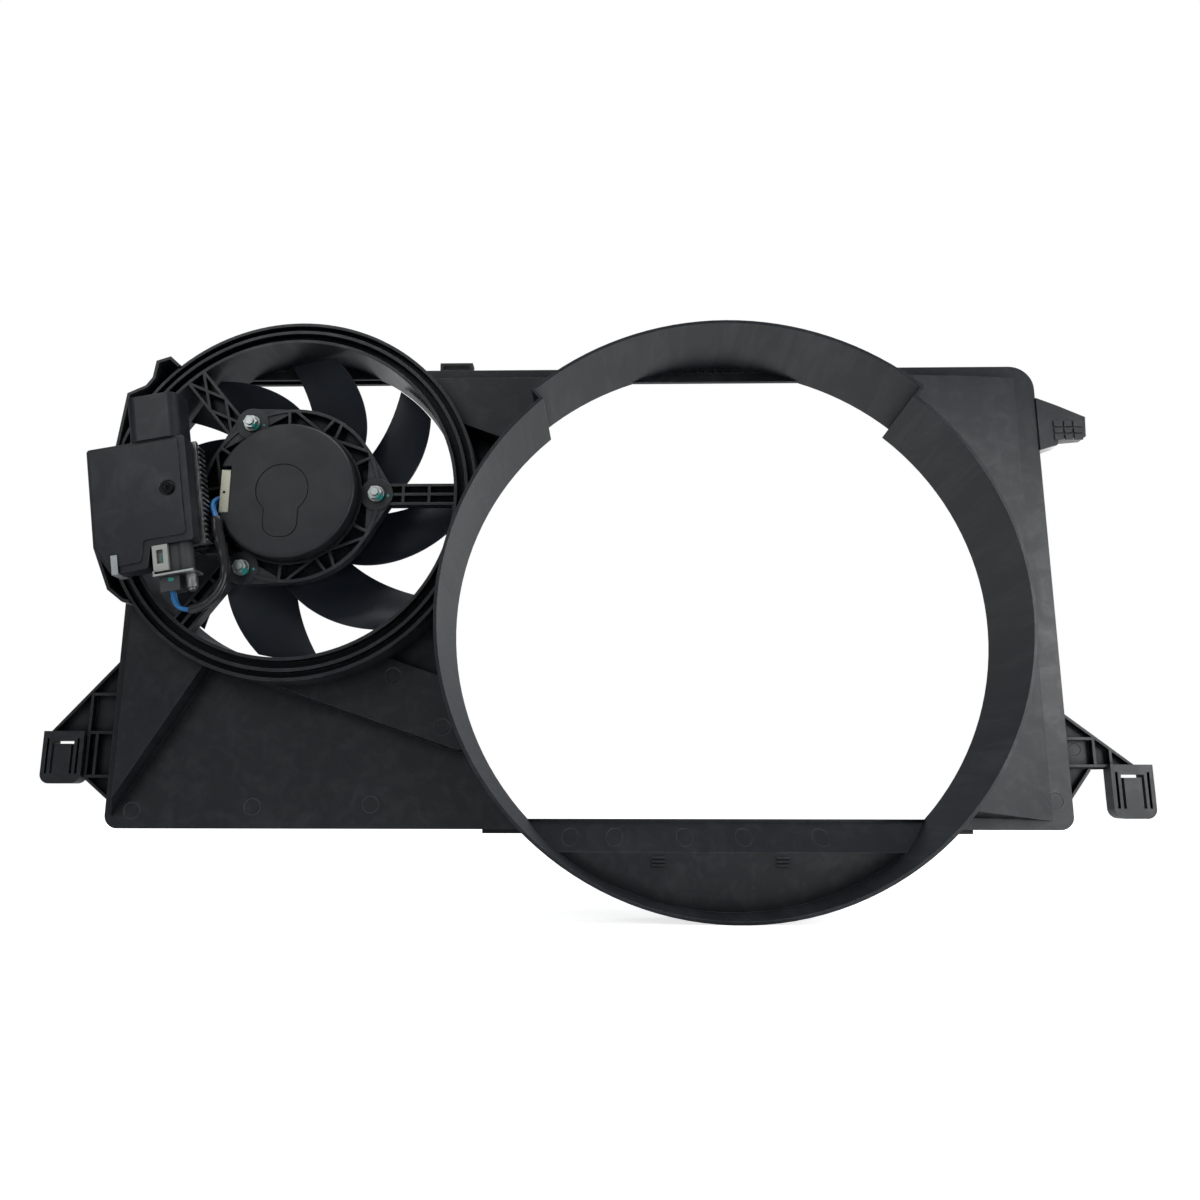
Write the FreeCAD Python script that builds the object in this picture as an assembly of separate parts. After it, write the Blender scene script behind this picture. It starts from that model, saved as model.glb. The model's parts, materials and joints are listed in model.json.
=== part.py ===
import FreeCAD, Part
import math
import os

# Radiator fan shroud with its electric fan, motor and control module, in millimetres.
# Origin: axis of the main fan ring on the radiator plane.  +X to the right and +Z up as seen
# from the engine, which is on the -Y side.  The radiator side is the plane Y = 0.

# --- shroud frame and hood ---
RIGHT_MARGIN = 49.0
LEFT_MARGIN = 17.6
TOP_MARGIN = 3.5
SCOOP_DROP = 63.5
FLANGE_WIDTH = 8.0
FLANGE_DEPTH = 4.0
WALL = 2.5
BASE_DEPTH = 14.0
SIDE_HOOD_DEPTH = 30.0
LOWER_HOOD_DEPTH = 26.0
BRIDGE_DEPTH = 40.0
RIGHT_EDGE_DEPTH = 13.0
RIGHT_HOOD_WIDTH = 175.0
RIGHT_SLOPE_WIDTH = 113.0
POCKET_DEPTH = 20.0
TOP_SLOPE = 17.0
TOP_LEDGE = 2.0
RAIL_WIDTH = 38.0
RAIL_DROP = 3.5
UPPER_CORNER_RADIUS = 21.0
LOWER_CORNER_RADIUS = 11.0

# --- main fan ring ---
MAIN_RADIUS = 229.0
MAIN_TOP_RISE = 10.0
MAIN_TOP_HALF_ANGLE = 41.0
MAIN_DEPTH = 91.0
RING_WALL = 2.6
SCOOP_SLOPE = 24.0
LOUVRE_WIDTH = 10.0
LOUVRE_HEIGHT = 1.4
LOUVRE_PITCH = 2.9
LOUVRE_PLACES = (-57.0, 39.5)
LOUVRE_TOP = 185.0
SILL_RIBS = 11
SILL_PITCH = 8.0

# --- electric fan ring ---
BORE_GAP = 7.2
DUCT_RADIUS = 134.4
DUCT_RISE = 4.9
CREST_DEPTH = 60.0
CHANNEL_WIDTH = 6.2
OUTER_CHANNEL_WIDTH = 4.8
CHANNEL_DEPTH = 9.0

# --- motor carrier ---
CARRIER_RADIUS = 74.0
CARRIER_FRONT = 61.0
CARRIER_DEPTH = 11.0
CARRIER_FLOOR = 3.0
RIB = 2.2
STUD_CIRCLE_RADIUS = 71.0
EAR_RADIUS = 13.5
STRUT_WIDTH = 18.0
STRUT_ANGLES = (0.0, 130.0, 233.0)
BRACED_STRUT = STRUT_ANGLES[1]
EAR_ANGLES = (0.0, 120.0, 240.0)
LEAD_CLIP_X = -54.0
LEAD_CLIP_Z = -47.0
LEAD_CLIP_WIDTH = 17.0
LEAD_CLIP_HEIGHT = 11.0
LEAD_CLIP_DEPTH = 8.0

# --- motor ---
COVER_RADIUS = 56.5
COVER_FRONT = 75.0
CAN_RADIUS = 50.0
CAN_WALL = 2.4
CAN_REAR = 24.0
MOTOR_FLANGE = 2.5
SHAFT_RADIUS = 4.0
SHAFT_FRONT = 61.0
SHAFT_REAR = 8.0
BEARING_RADIUS = 11.0
BEARING_WIDTH = 7.0
RUNNING_FIT = 0.02
ARMATURE_RADIUS = 34.0
AIR_GAP = 0.8
COMMUTATOR_RADIUS = 12.0
CORE_DEPTH = 8.5
WINDING_DEPTH = 2.4
COMMUTATOR_DEPTH = 8.0
BRUSH_WIDTH = 5.0
BRUSH_LENGTH = 12.0
BRUSH_CLEARANCE = 0.05
MAGNET_ANGLE = 70.0
STUD_RADIUS = 3.0
NUT_ACROSS_FLATS = 10.0
NUT_HEIGHT = 6.0
KEYHOLE_RADIUS = 21.5
KEYHOLE_X = -2.0
KEYHOLE_FOOT_WIDTH = 28.6
KEYHOLE_FOOT_DROP = 40.0
KEYHOLE_CORNER = 12.0
KEYHOLE_LINE = 0.8
KEYHOLE_DEPTH = 0.6
TERMINAL_LENGTH = 36.0

# --- impeller ---
BLADE_COUNT = 8
HUB_RADIUS = 60.0
HUB_FRONT = 44.0
HUB_REAR = 11.5
TIP_CLEARANCE = 2.9
BLADE_THICKNESS = 2.4
BLADE_SWEEP = 28.0
BLADE_START_ANGLE = 16.5
BLADE_ROOT_CHORD = 54.0
BLADE_BELLY = 23.7
BLADE_TAPER = 35.1
BLADE_ROOT_RISE = 26.0
BLADE_RISE_LOSS = 9.0
BLADE_CAMBER = 3.5
BLADE_MIDDLE = 31.0

# --- control module ---
MODULE_TILT = 10.0
MODULE_TO_FAN_X = 102.0
MODULE_TO_FAN_Z = 13.0
MODULE_WIDTH = 77.0
MODULE_HEIGHT = 86.0
MODULE_FRONT = 105.0
COVER_DEPTH = 15.0
SINK_BASE = 4.0
SINK_LIP = 3.0
FIN_LENGTH = 9.0
FIN_PITCH = 4.3
FIN_THICKNESS = 1.6
FIN_TIP = 1.3
COVER_CORNER = 2.6
COVER_STEP = 1.0
COVER_BORDER = 5.5
COVER_EDGE = 2.5
SOCKET_WIDTH = 41.0
SOCKET_DEPTH = 22.0
SOCKET_LENGTH = 37.0
BOARD = 1.6
RIM_OUTLINE = [(130.6, -14.9), (131.8, 11.8), (135.7, 17.2), (140.0, 8.6), (143.1, 8.2), (148.0, 16.6),
               (195.5, 11.8), (208.8, 11.0), (214.2, 5.2), (223.5, -15.3)]
PLUG_RADIUS = 6.0
PLUG_LENGTH = 25.0

# --- lead ---
SLEEVE_RADIUS = 4.3
SLEEVE_WALL = 0.7
WIRE_RADIUS = 1.6
WIRE_SPACING = 3.8
# The lead's route is given from the fan axis.
LEAD_ROUTE = [(-62, -91, -103), (-49, -85, -95), (-41, -81, -81), (-40, -80, -65), (-45, -80, -49),
              (-49, -80.5, -37), (-51, -80, -25), (-59, -72, -12)]

# --- mounting pieces of the frame ---
BRACKET_PLATE = 2.5
BRACKET_REAR = 1.5
BRACKET_RIB_HEIGHT = 6.0
CLIP_WIDTH = 34.0
CLIP_HEIGHT = 43.0
CLIP_DEPTH = 12.0
TONGUE_WIDTH = 14.0
TONGUE_ROOM = 6.0
SLOT = 2.2
PEG_DEPTH = 14.0
GROOVE = 1.6

# The frame follows the two rings: the fan axis stands where the bores clear each other.
MAIN_TOP_RADIUS = MAIN_RADIUS + MAIN_TOP_RISE
FRAME_RIGHT = MAIN_RADIUS + RIGHT_MARGIN
FRAME_BOTTOM = SCOOP_DROP - MAIN_RADIUS
FRAME_TOP = MAIN_RADIUS + TOP_MARGIN
FAN_Z = FRAME_TOP + DUCT_RISE - DUCT_RADIUS
FAN_X = -math.sqrt((MAIN_RADIUS + BORE_GAP + DUCT_RADIUS) ** 2 - FAN_Z ** 2)
FRAME_LEFT = FAN_X - DUCT_RADIUS - LEFT_MARGIN
FRAME_MIDDLE = (FRAME_BOTTOM + FRAME_TOP) / 2
FAR = FRAME_RIGHT - FRAME_LEFT
DUCT_OUTER = DUCT_RADIUS + RING_WALL
TIP_RADIUS = DUCT_RADIUS - TIP_CLEARANCE
CARRIER_REAR = CARRIER_FRONT - CARRIER_DEPTH
HOLE_CLEARANCE = 0.3

Y_AXIS = FreeCAD.Vector(0, 1, 0)


def vec(x, y, z):
    return FreeCAD.Vector(x, y, z)


def disc(radius, y_front, y_rear, x=0.0, z=0.0):
    """Solid cylinder along Y between two depths."""
    return Part.makeCylinder(radius, y_rear - y_front, vec(x, y_front, z), Y_AXIS)


def ring(outer, inner, y_front, y_rear, x=0.0, z=0.0):
    return disc(outer, y_front, y_rear, x, z).cut(disc(inner, y_front - 1, y_rear + 1, x, z))


def box(x0, x1, y0, y1, z0, z1):
    return Part.makeBox(x1 - x0, y1 - y0, z1 - z0, vec(x0, y0, z0))


def outline(points, y):
    corners = [vec(x, y, z) for x, z in points]
    return Part.makePolygon(corners + corners[:1])


def plate(points, y_front, y_rear):
    """Flat plate with an outline in XZ between two depths."""
    return Part.Face(outline(points, y_front)).extrude(vec(0, y_rear - y_front, 0))


def offset_loop(points, distances):
    """Move each edge of a counter-clockwise loop outwards by its own distance."""
    count = len(points)
    lines = []
    for i in range(count):
        (x0, z0), (x1, z1) = points[i], points[(i + 1) % count]
        length = math.hypot(x1 - x0, z1 - z0)
        nx, nz = (z1 - z0) / length, -(x1 - x0) / length
        lines.append((nx, nz, nx * x0 + nz * z0 + distances[i]))
    moved = []
    for i in range(count):
        a, b = lines[i - 1], lines[i]
        det = a[0] * b[1] - a[1] * b[0]
        moved.append(((a[2] * b[1] - b[2] * a[1]) / det, (a[0] * b[2] - b[0] * a[2]) / det))
    return moved


def hood(front, flare, depth):
    """Outer body and cavity of a hood that widens by its flare towards the radiator."""
    rear = offset_loop(front, flare)
    inset = [-WALL] * len(front)
    body = Part.makeLoft([outline(front, -depth), outline(rear, 0)], True, True)
    cavity = Part.makeLoft([outline(offset_loop(front, inset), WALL - depth),
                            outline(offset_loop(rear, inset), 0)], True, True)
    return body, cavity


def corner_edges(body, upper):
    """Edges along Y in the upper or the lower half of a body."""
    along = [e for e in body.Edges if e.BoundBox.XLength + e.BoundBox.ZLength < 0.01]
    return [e for e in along if (e.BoundBox.ZMin > FRAME_MIDDLE) == upper]


def rounded_box(inset, depth):
    """Base tray of the frame with its four corner radii."""
    body = box(FRAME_LEFT + inset, FRAME_RIGHT - inset, -depth, 0, FRAME_BOTTOM + inset, FRAME_TOP - inset)
    body = body.makeFillet(LOWER_CORNER_RADIUS - inset, corner_edges(body, False))
    square = [e for e in corner_edges(body, True) if abs(e.BoundBox.ZMax - FRAME_TOP + inset) < 0.01]
    return body.makeFillet(UPPER_CORNER_RADIUS - inset, square)


def right_hood(inset):
    """Plate that slopes from the bridge depth at the ring down to the right edge."""
    left = FRAME_RIGHT - RIGHT_HOOD_WIDTH + inset
    slope_start = FRAME_RIGHT - RIGHT_SLOPE_WIDTH
    right = FRAME_RIGHT - 17.0 - inset
    front = BRIDGE_DEPTH - inset
    edge = RIGHT_EDGE_DEPTH + 1.0 - inset
    low, high = FRAME_BOTTOM + 5.0 + inset, FRAME_TOP - inset
    top = FRAME_TOP - TOP_LEDGE - TOP_SLOPE - inset
    inner = [vec(left, -front, low + 14), vec(left, -front, top), vec(left, 0, high - 1.5), vec(left, 0, low)]
    step = [vec(slope_start, -front, low + 14), vec(slope_start, -front, top),
            vec(slope_start, 0, high - 1.5), vec(slope_start, 0, low)]
    outer = [vec(right, -edge, low + 2), vec(right, -edge, high - 11), vec(right, 0, high - 1.5), vec(right, 0, low)]
    wires = [Part.makePolygon(p + p[:1]) for p in (inner, step, outer)]
    return Part.makeLoft(wires, True, True)


def hood_bodies():
    """Hull and cavity of the whole moulded hood."""
    under_top = FRAME_TOP - TOP_LEDGE - TOP_SLOPE
    side_front = [(FRAME_LEFT + 12.5, FRAME_BOTTOM + 24.0), (FAN_X - 72.0, FAN_Z - 133.0),
                  (FAN_X + 60.0, FAN_Z - 133.0), (FAN_X + 60.0, under_top),
                  (FRAME_LEFT + 15.5, under_top)]
    side = hood(side_front, [3.0, 3.0, 1.0, TOP_SLOPE, 13.0], SIDE_HOOD_DEPTH)
    bridge_front = [(FAN_X + 30.0, FAN_Z + 88.0), (FAN_X + 134.0, FAN_Z + 70.0), (FAN_X + 206.0, FAN_Z + 43.0),
                    (FAN_X + 250.0, FAN_Z + 43.0), (FAN_X + 250.0, under_top), (FAN_X + 30.0, under_top)]
    bridge = hood(bridge_front, [1.0, 1.0, 1.0, 1.0, TOP_SLOPE, 1.0], BRIDGE_DEPTH)
    lower_front = [(FAN_X - 42.0, FAN_Z - 144.0), (FAN_X + 137.0, FAN_Z - 205.0), (FAN_X + 180.0, FAN_Z - 205.0),
                   (FAN_X + 180.0, FAN_Z - 90.0), (FAN_X + 20.0, FAN_Z - 90.0)]
    lower = hood(lower_front, [4.0, 4.0, 1.0, 1.0, 1.0], LOWER_HOOD_DEPTH)
    hull = rounded_box(0, BASE_DEPTH).fuse([side[0], bridge[0], lower[0], right_hood(0)])
    cavity = rounded_box(WALL, BASE_DEPTH - WALL).fuse([side[1], bridge[1], lower[1], right_hood(WALL)])
    pocket = [(FAN_X + 66.0, FAN_Z - 126.0), (FAN_X + 130.0, FAN_Z - 148.0),
              (FAN_X + 130.0, FAN_Z - 83.0), (FAN_X + 94.0, FAN_Z - 95.0)]
    hull = hull.cut(plate(pocket, -BRIDGE_DEPTH, -POCKET_DEPTH))
    behind = offset_loop(pocket, [WALL] * len(pocket))
    cavity = cavity.cut(plate(behind, -BRIDGE_DEPTH, WALL - POCKET_DEPTH))
    return hull.common(rounded_box(0, BRIDGE_DEPTH)), cavity.common(rounded_box(WALL, BRIDGE_DEPTH))


def main_core(radius_inset):
    """Solid inside the outer skin of the main ring: a disc with a wider top sector."""
    reach = 2 * MAIN_TOP_RADIUS
    swing = reach * math.tan(math.radians(MAIN_TOP_HALF_ANGLE))
    sector = plate([(0, 0), (swing, reach), (-swing, reach)], -MAIN_DEPTH, 0)
    sector = sector.common(disc(MAIN_TOP_RADIUS - radius_inset, -MAIN_DEPTH, 0))
    if radius_inset > 0:
        jog = radius_inset / math.cos(math.radians(MAIN_TOP_HALF_ANGLE))
        sector.translate(vec(0, 0, jog))
        sector = sector.common(disc(MAIN_TOP_RADIUS - radius_inset, -MAIN_DEPTH, 0))
    return disc(MAIN_RADIUS - radius_inset, -MAIN_DEPTH, 0).fuse(sector)


def main_opening():
    """Space that the main ring takes out of the hood, clear of the frame flange."""
    core = main_core(0)
    behind = box(FRAME_LEFT, FRAME_RIGHT, -FLANGE_DEPTH, 1, -2 * MAIN_RADIUS, FRAME_BOTTOM + FLANGE_WIDTH)
    above = box(FRAME_LEFT, FRAME_RIGHT, -FLANGE_DEPTH, 1, FRAME_TOP - FLANGE_WIDTH, 2 * MAIN_RADIUS)
    return core.cut(behind).cut(above)


def fan_opening():
    """Space that the electric fan's duct takes out of the hood, under the top bar."""
    space = disc(DUCT_OUTER, -CREST_DEPTH, -FLANGE_DEPTH, FAN_X, FAN_Z)
    return space.common(box(FRAME_LEFT, 0, -CREST_DEPTH, 0, FRAME_BOTTOM, FRAME_TOP - FLANGE_WIDTH))


def shroud_panel(hull, cavity):
    panel = hull.cut(cavity)
    flange = rounded_box(0, FLANGE_DEPTH).cut(rounded_box(FLANGE_WIDTH, FLANGE_DEPTH))
    rail = box(-RAIL_WIDTH, 0, -2 * FLANGE_DEPTH, -FLANGE_DEPTH / 2, FRAME_BOTTOM - RAIL_DROP, FRAME_BOTTOM + WALL)
    chord = math.sqrt(MAIN_RADIUS ** 2 - FRAME_BOTTOM ** 2)
    rails = [rail.translated(vec(-chord - RING_WALL, 0, 0)), rail.translated(vec(chord + RING_WALL + RAIL_WIDTH, 0, 0))]
    panel = panel.fuse([flange] + rails).cut(main_opening()).cut(fan_opening())
    return panel.removeSplitter()


def main_fan_ring(hull):
    """Tall ring with its wider top arc and the closed scoop below the frame."""
    wall = main_core(0).cut(main_core(RING_WALL))
    low = FRAME_BOTTOM + FLANGE_WIDTH
    foot = low - SCOOP_SLOPE
    below = Part.makePolygon([vec(-FAR, 0, low), vec(-FAR, -BRIDGE_DEPTH, foot), vec(-FAR, -BRIDGE_DEPTH, -FAR),
                              vec(-FAR, 0, -FAR), vec(-FAR, 0, low)])
    below = Part.Face(below).extrude(vec(2 * FAR, 0, 0))
    ledge = below.cut(below.translated(vec(0, 0, -WALL)))
    ledge = ledge.common(disc(MAIN_RADIUS, -BRIDGE_DEPTH, -FLANGE_DEPTH))
    closing = disc(MAIN_RADIUS, -BRIDGE_DEPTH, WALL - BRIDGE_DEPTH)
    closing = closing.common(box(-FAR, FAR, -BRIDGE_DEPTH, 0, -FAR, foot))
    body = wall.cut(below).fuse([ledge, closing, top_sill()] + louvres())
    return body.cut(hull.cut(main_opening())).removeSplitter()


def top_sill():
    """Ribbed web that closes the ring behind, between the top bar and the wider arc."""
    face = -FLANGE_DEPTH
    web = main_core(0).common(box(-FAR, FAR, face, face + WALL, FRAME_TOP, FAR))
    ribs = []
    for i in range(SILL_RIBS):
        x = (i - (SILL_RIBS - 1) / 2) * SILL_PITCH
        ribs.append(box(x - WALL / 2, x + WALL / 2, face - WALL / 2, face, FRAME_TOP, FAR))
    return web.fuse(Part.makeCompound(ribs).common(main_core(0)))


def louvres():
    """Two groups of three raised bars on the closing wall of the scoop."""
    bars = []
    for x in LOUVRE_PLACES:
        for i in range(3):
            top = -LOUVRE_TOP - i * LOUVRE_PITCH
            bars.append(box(x - LOUVRE_WIDTH / 2, x + LOUVRE_WIDTH / 2, -BRIDGE_DEPTH - LOUVRE_HEIGHT, -BRIDGE_DEPTH,
                            top - LOUVRE_HEIGHT, top))
    return bars


def electric_fan_ring(hull):
    """Double-walled ring with two channels, closed behind where it rises over the top bar."""
    crest, rear = -CREST_DEPTH, WALL - BASE_DEPTH
    mid = DUCT_OUTER + CHANNEL_WIDTH
    outer = mid + RING_WALL + OUTER_CHANNEL_WIDTH
    body = ring(DUCT_OUTER, DUCT_RADIUS, crest, rear)
    body = body.fuse([ring(mid + RING_WALL, mid, crest + 1, crest + CHANNEL_DEPTH + WALL),
                      ring(outer + RING_WALL, outer, crest + 2, rear),
                      ring(outer, DUCT_OUTER, crest + CHANNEL_DEPTH, crest + CHANNEL_DEPTH + WALL)])
    back = ring(outer, DUCT_OUTER - 2 * RING_WALL, -BASE_DEPTH, rear)
    back = back.common(box(-outer, outer, -BASE_DEPTH, 0, FRAME_TOP - FAN_Z, outer))
    body = body.fuse(back)
    body.translate(vec(FAN_X, 0, FAN_Z))
    body = body.cut(hull.cut(fan_opening())).cut(main_core(0))
    return body.removeSplitter()


def spoke(angle, width, start, end, y_front, y_rear):
    """Straight bar that runs outwards from the fan axis at an angle."""
    bar = box(start, end, y_front, y_rear, -width / 2, width / 2)
    bar.rotate(vec(0, 0, 0), Y_AXIS, -angle)
    return bar


def polar(radius, angle):
    return radius * math.cos(math.radians(angle)), radius * math.sin(math.radians(angle))


def lattice_bar(start, end, y_front, y_rear):
    """Rib between two points given as (radius, angle)."""
    x0, z0 = polar(*start)
    x1, z1 = polar(*end)
    length = math.hypot(x1 - x0, z1 - z0)
    bar = box(0, length, y_front, y_rear, -RIB / 2, RIB / 2)
    bar.rotate(vec(0, 0, 0), Y_AXIS, -math.degrees(math.atan2(z1 - z0, x1 - x0)))
    bar.translate(vec(x0, 0, z0))
    return bar


def strut(angle, reach):
    """Strut with a thin floor, side and middle ribs, and cross ribs or, on one, cross bracing."""
    start = CARRIER_RADIUS - RING_WALL
    front, rear = -CARRIER_FRONT + 1, -CARRIER_REAR
    parts = [spoke(angle, STRUT_WIDTH, start, reach, rear - CARRIER_FLOOR, rear)]
    side = (STRUT_WIDTH - RIB) / 2
    braced = angle == BRACED_STRUT
    lines = [((start, -side), (reach, -side)), ((start, side), (reach, side))]
    if braced:
        middle = (start + reach) / 2
        lines += [((start, -side), (middle, side)), ((start, side), (middle, -side)),
                  ((middle, -side), (reach, side)), ((middle, side), (reach, -side))]
    else:
        third = (reach - start) / 3
        lines += [((start, 0), (reach, 0)), ((start + third, -side), (start + third, side)),
                  ((reach - third, -side), (reach - third, side))]
    for (x0, z0), (x1, z1) in lines:
        rib = box(0, math.hypot(x1 - x0, z1 - z0), front, rear, -RIB / 2, RIB / 2)
        rib.rotate(vec(0, 0, 0), Y_AXIS, -math.degrees(math.atan2(z1 - z0, x1 - x0)))
        rib.translate(vec(x0, 0, z0))
        rib.rotate(vec(0, 0, 0), Y_AXIS, -angle)
        parts.append(rib)
    return parts


def motor_carrier():
    """Lattice ring with three ears on three ribbed struts."""
    front, rear = -CARRIER_FRONT, -CARRIER_REAR
    bore = COVER_RADIUS + HOLE_CLEARANCE
    body = ring(CARRIER_RADIUS, bore, rear - CARRIER_FLOOR, rear)
    parts = [ring(CARRIER_RADIUS, CARRIER_RADIUS - RING_WALL, front, rear), ring(bore + RIB, bore, front, rear)]
    for ear in EAR_ANGLES:
        x, z = polar(STUD_CIRCLE_RADIUS, ear)
        parts.append(disc(EAR_RADIUS, front, rear, x, z))
        lean = math.degrees(math.acos((CARRIER_RADIUS - EAR_RADIUS) / STUD_CIRCLE_RADIUS))
        left, right = polar(EAR_RADIUS, ear + lean), polar(EAR_RADIUS, ear - lean)
        web = [polar(CARRIER_RADIUS, ear - lean), (x + right[0], z + right[1]),
               (x + left[0], z + left[1]), polar(CARRIER_RADIUS, ear + lean)]
        parts.append(plate(web, front + 1, rear))
        inner, outer = bore + RIB / 2, CARRIER_RADIUS - RIB / 2
        for side in (-1, 1):
            parts.append(lattice_bar((inner, ear + side * 26), (outer, ear + side * 26), front, rear))
            parts.append(lattice_bar((inner, ear + side * 54), (outer, ear + side * 30), front, rear))
            parts.append(lattice_bar((inner, ear + side * 54), (outer, ear + side * 57), front, rear))
    for angle in STRUT_ANGLES:
        parts.extend(strut(angle, DUCT_RADIUS + 1))
    parts.append(lead_clip_block(front, rear))
    body = body.fuse(parts).common(disc(DUCT_RADIUS, front, rear))
    body = body.cut(disc(bore, front, rear))
    for ear in EAR_ANGLES:
        x, z = polar(STUD_CIRCLE_RADIUS, ear)
        body = body.cut(disc(STUD_RADIUS, front, rear, x, z))
    return body.removeSplitter()


def lead_clip_block(front, rear):
    """Block beside the lower ear, also used for the seat below it."""
    return box(LEAD_CLIP_X - LEAD_CLIP_WIDTH / 2, LEAD_CLIP_X + LEAD_CLIP_WIDTH / 2, front, rear,
               LEAD_CLIP_Z - LEAD_CLIP_HEIGHT / 2, LEAD_CLIP_Z + LEAD_CLIP_HEIGHT / 2)


def lead_clip():
    """Small clip block with an open slit along its top."""
    front = -CARRIER_FRONT - LEAD_CLIP_DEPTH
    body = lead_clip_block(front, -CARRIER_FRONT)
    body = body.makeChamfer(1.0, [e for e in body.Edges if e.BoundBox.YMax < front + 0.01])
    slit = box(LEAD_CLIP_X - LEAD_CLIP_WIDTH, LEAD_CLIP_X + LEAD_CLIP_WIDTH, front, front + RIB,
               LEAD_CLIP_Z + RIB / 2, LEAD_CLIP_Z + 1.5 * RIB)
    return body.cut(slit)


def blade_section(radius):
    """Closed cambered section in the plane square to the radius."""
    t = (radius - HUB_RADIUS) / (TIP_RADIUS - HUB_RADIUS)
    angle = math.radians(BLADE_START_ANGLE + BLADE_SWEEP * t)
    chord = BLADE_ROOT_CHORD + BLADE_BELLY * t - BLADE_TAPER * t * t
    rise = BLADE_ROOT_RISE - BLADE_RISE_LOSS * t
    length = math.hypot(chord, rise)
    along = (chord / length, rise / length)
    normal = (-along[1], along[0])

    def place(a, n):
        tangent = a * along[0] + n * normal[0]
        y = a * along[1] + n * normal[1] - BLADE_MIDDLE
        return vec(radius * math.cos(angle) - tangent * math.sin(angle), y,
                   radius * math.sin(angle) + tangent * math.cos(angle))

    half, thick = length / 2, BLADE_THICKNESS / 2
    tip = thick / 2
    upper = Part.Arc(place(-half, tip), place(0, BLADE_CAMBER + thick), place(half, tip)).toShape()
    lower = Part.Arc(place(half, -tip), place(0, BLADE_CAMBER - thick), place(-half, -tip)).toShape()
    ends = [Part.makeLine(place(half, tip), place(half, -tip)), Part.makeLine(place(-half, -tip), place(-half, tip))]
    return Part.Wire([upper, ends[0], lower, ends[1]])


def fan_impeller():
    """Cupped hub with eight sickle blades."""
    span = TIP_RADIUS - HUB_RADIUS
    stations = [HUB_RADIUS - 12, HUB_RADIUS + span * 0.35, HUB_RADIUS + span * 0.7, TIP_RADIUS + 3]
    blade = Part.makeLoft([blade_section(r) for r in stations], True, False)
    blade = blade.common(ring(TIP_RADIUS, HUB_RADIUS - WALL / 2, -HUB_FRONT - 8, -HUB_REAR + 8))
    blades = []
    for i in range(BLADE_COUNT):
        turned = blade.copy()
        turned.rotate(vec(0, 0, 0), Y_AXIS, -360.0 * i / BLADE_COUNT)
        blades.append(turned)
    hub = disc(HUB_RADIUS, -HUB_FRONT, -HUB_REAR)
    hub = hub.makeFillet(5.0, [e for e in hub.Edges if abs(e.BoundBox.YMax + HUB_REAR) < 0.01
                               and abs(e.BoundBox.YMin + HUB_REAR) < 0.01])
    hub = hub.cut(disc(HUB_RADIUS - WALL, -HUB_FRONT, -HUB_REAR - WALL))
    boss = disc(SHAFT_RADIUS + 5, -CAN_REAR + BEARING_WIDTH + 1, -HUB_REAR)
    body = hub.fuse([boss] + blades)
    return body.cut(disc(SHAFT_RADIUS, -HUB_FRONT, 0)).removeSplitter()


def hexagon(across_flats, y_front, y_rear, x=0.0, z=0.0):
    radius = across_flats / math.sqrt(3)
    corners = [(x + polar(radius, 60 * i)[0], z + polar(radius, 60 * i)[1]) for i in range(6)]
    return plate(corners, y_front, y_rear)


def motor_can():
    """Drawn steel can with its mounting flange and front bearing seat."""
    flange_front = -CARRIER_REAR
    can = disc(CAN_RADIUS, flange_front, -CAN_REAR).cut(disc(CAN_RADIUS - CAN_WALL, flange_front, -CAN_REAR - CAN_WALL))
    parts = [ring(COVER_RADIUS + 2, CAN_RADIUS - CAN_WALL, flange_front, flange_front + MOTOR_FLANGE),
             ring(BEARING_RADIUS + 2, BEARING_RADIUS, -CAN_REAR, -CAN_REAR + BEARING_WIDTH)]
    for ear in EAR_ANGLES:
        x, z = polar(STUD_CIRCLE_RADIUS, ear)
        lug = disc(EAR_RADIUS - 3, flange_front, flange_front + MOTOR_FLANGE, x, z)
        arm = spoke(ear, 2 * (EAR_RADIUS - 3), CAN_RADIUS - CAN_WALL / 2, STUD_CIRCLE_RADIUS,
                    flange_front, flange_front + MOTOR_FLANGE)
        parts.extend([lug, arm])
    can = can.fuse(parts).cut(disc(BEARING_RADIUS - 2, -CAN_REAR - 2 * CAN_WALL, 0))
    for ear in EAR_ANGLES:
        x, z = polar(STUD_CIRCLE_RADIUS, ear)
        can = can.cut(disc(STUD_RADIUS, flange_front, 0, x, z))
    return can.removeSplitter()


def keyhole(inset, depth):
    """Disc with a round-cornered foot, from the front of the motor cover."""
    front, rear = -COVER_FRONT, depth - COVER_FRONT
    half, low = KEYHOLE_FOOT_WIDTH / 2 - inset, inset - KEYHOLE_FOOT_DROP
    foot = box(KEYHOLE_X - half, KEYHOLE_X + half, front, rear, low, 0)
    foot = foot.makeFillet(KEYHOLE_CORNER - inset, [e for e in foot.Edges if e.BoundBox.ZMax < low + 0.01
                                                    and e.BoundBox.XLength < 0.01])
    return foot.fuse(disc(KEYHOLE_RADIUS - inset, front, rear, KEYHOLE_X, 0))


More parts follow.
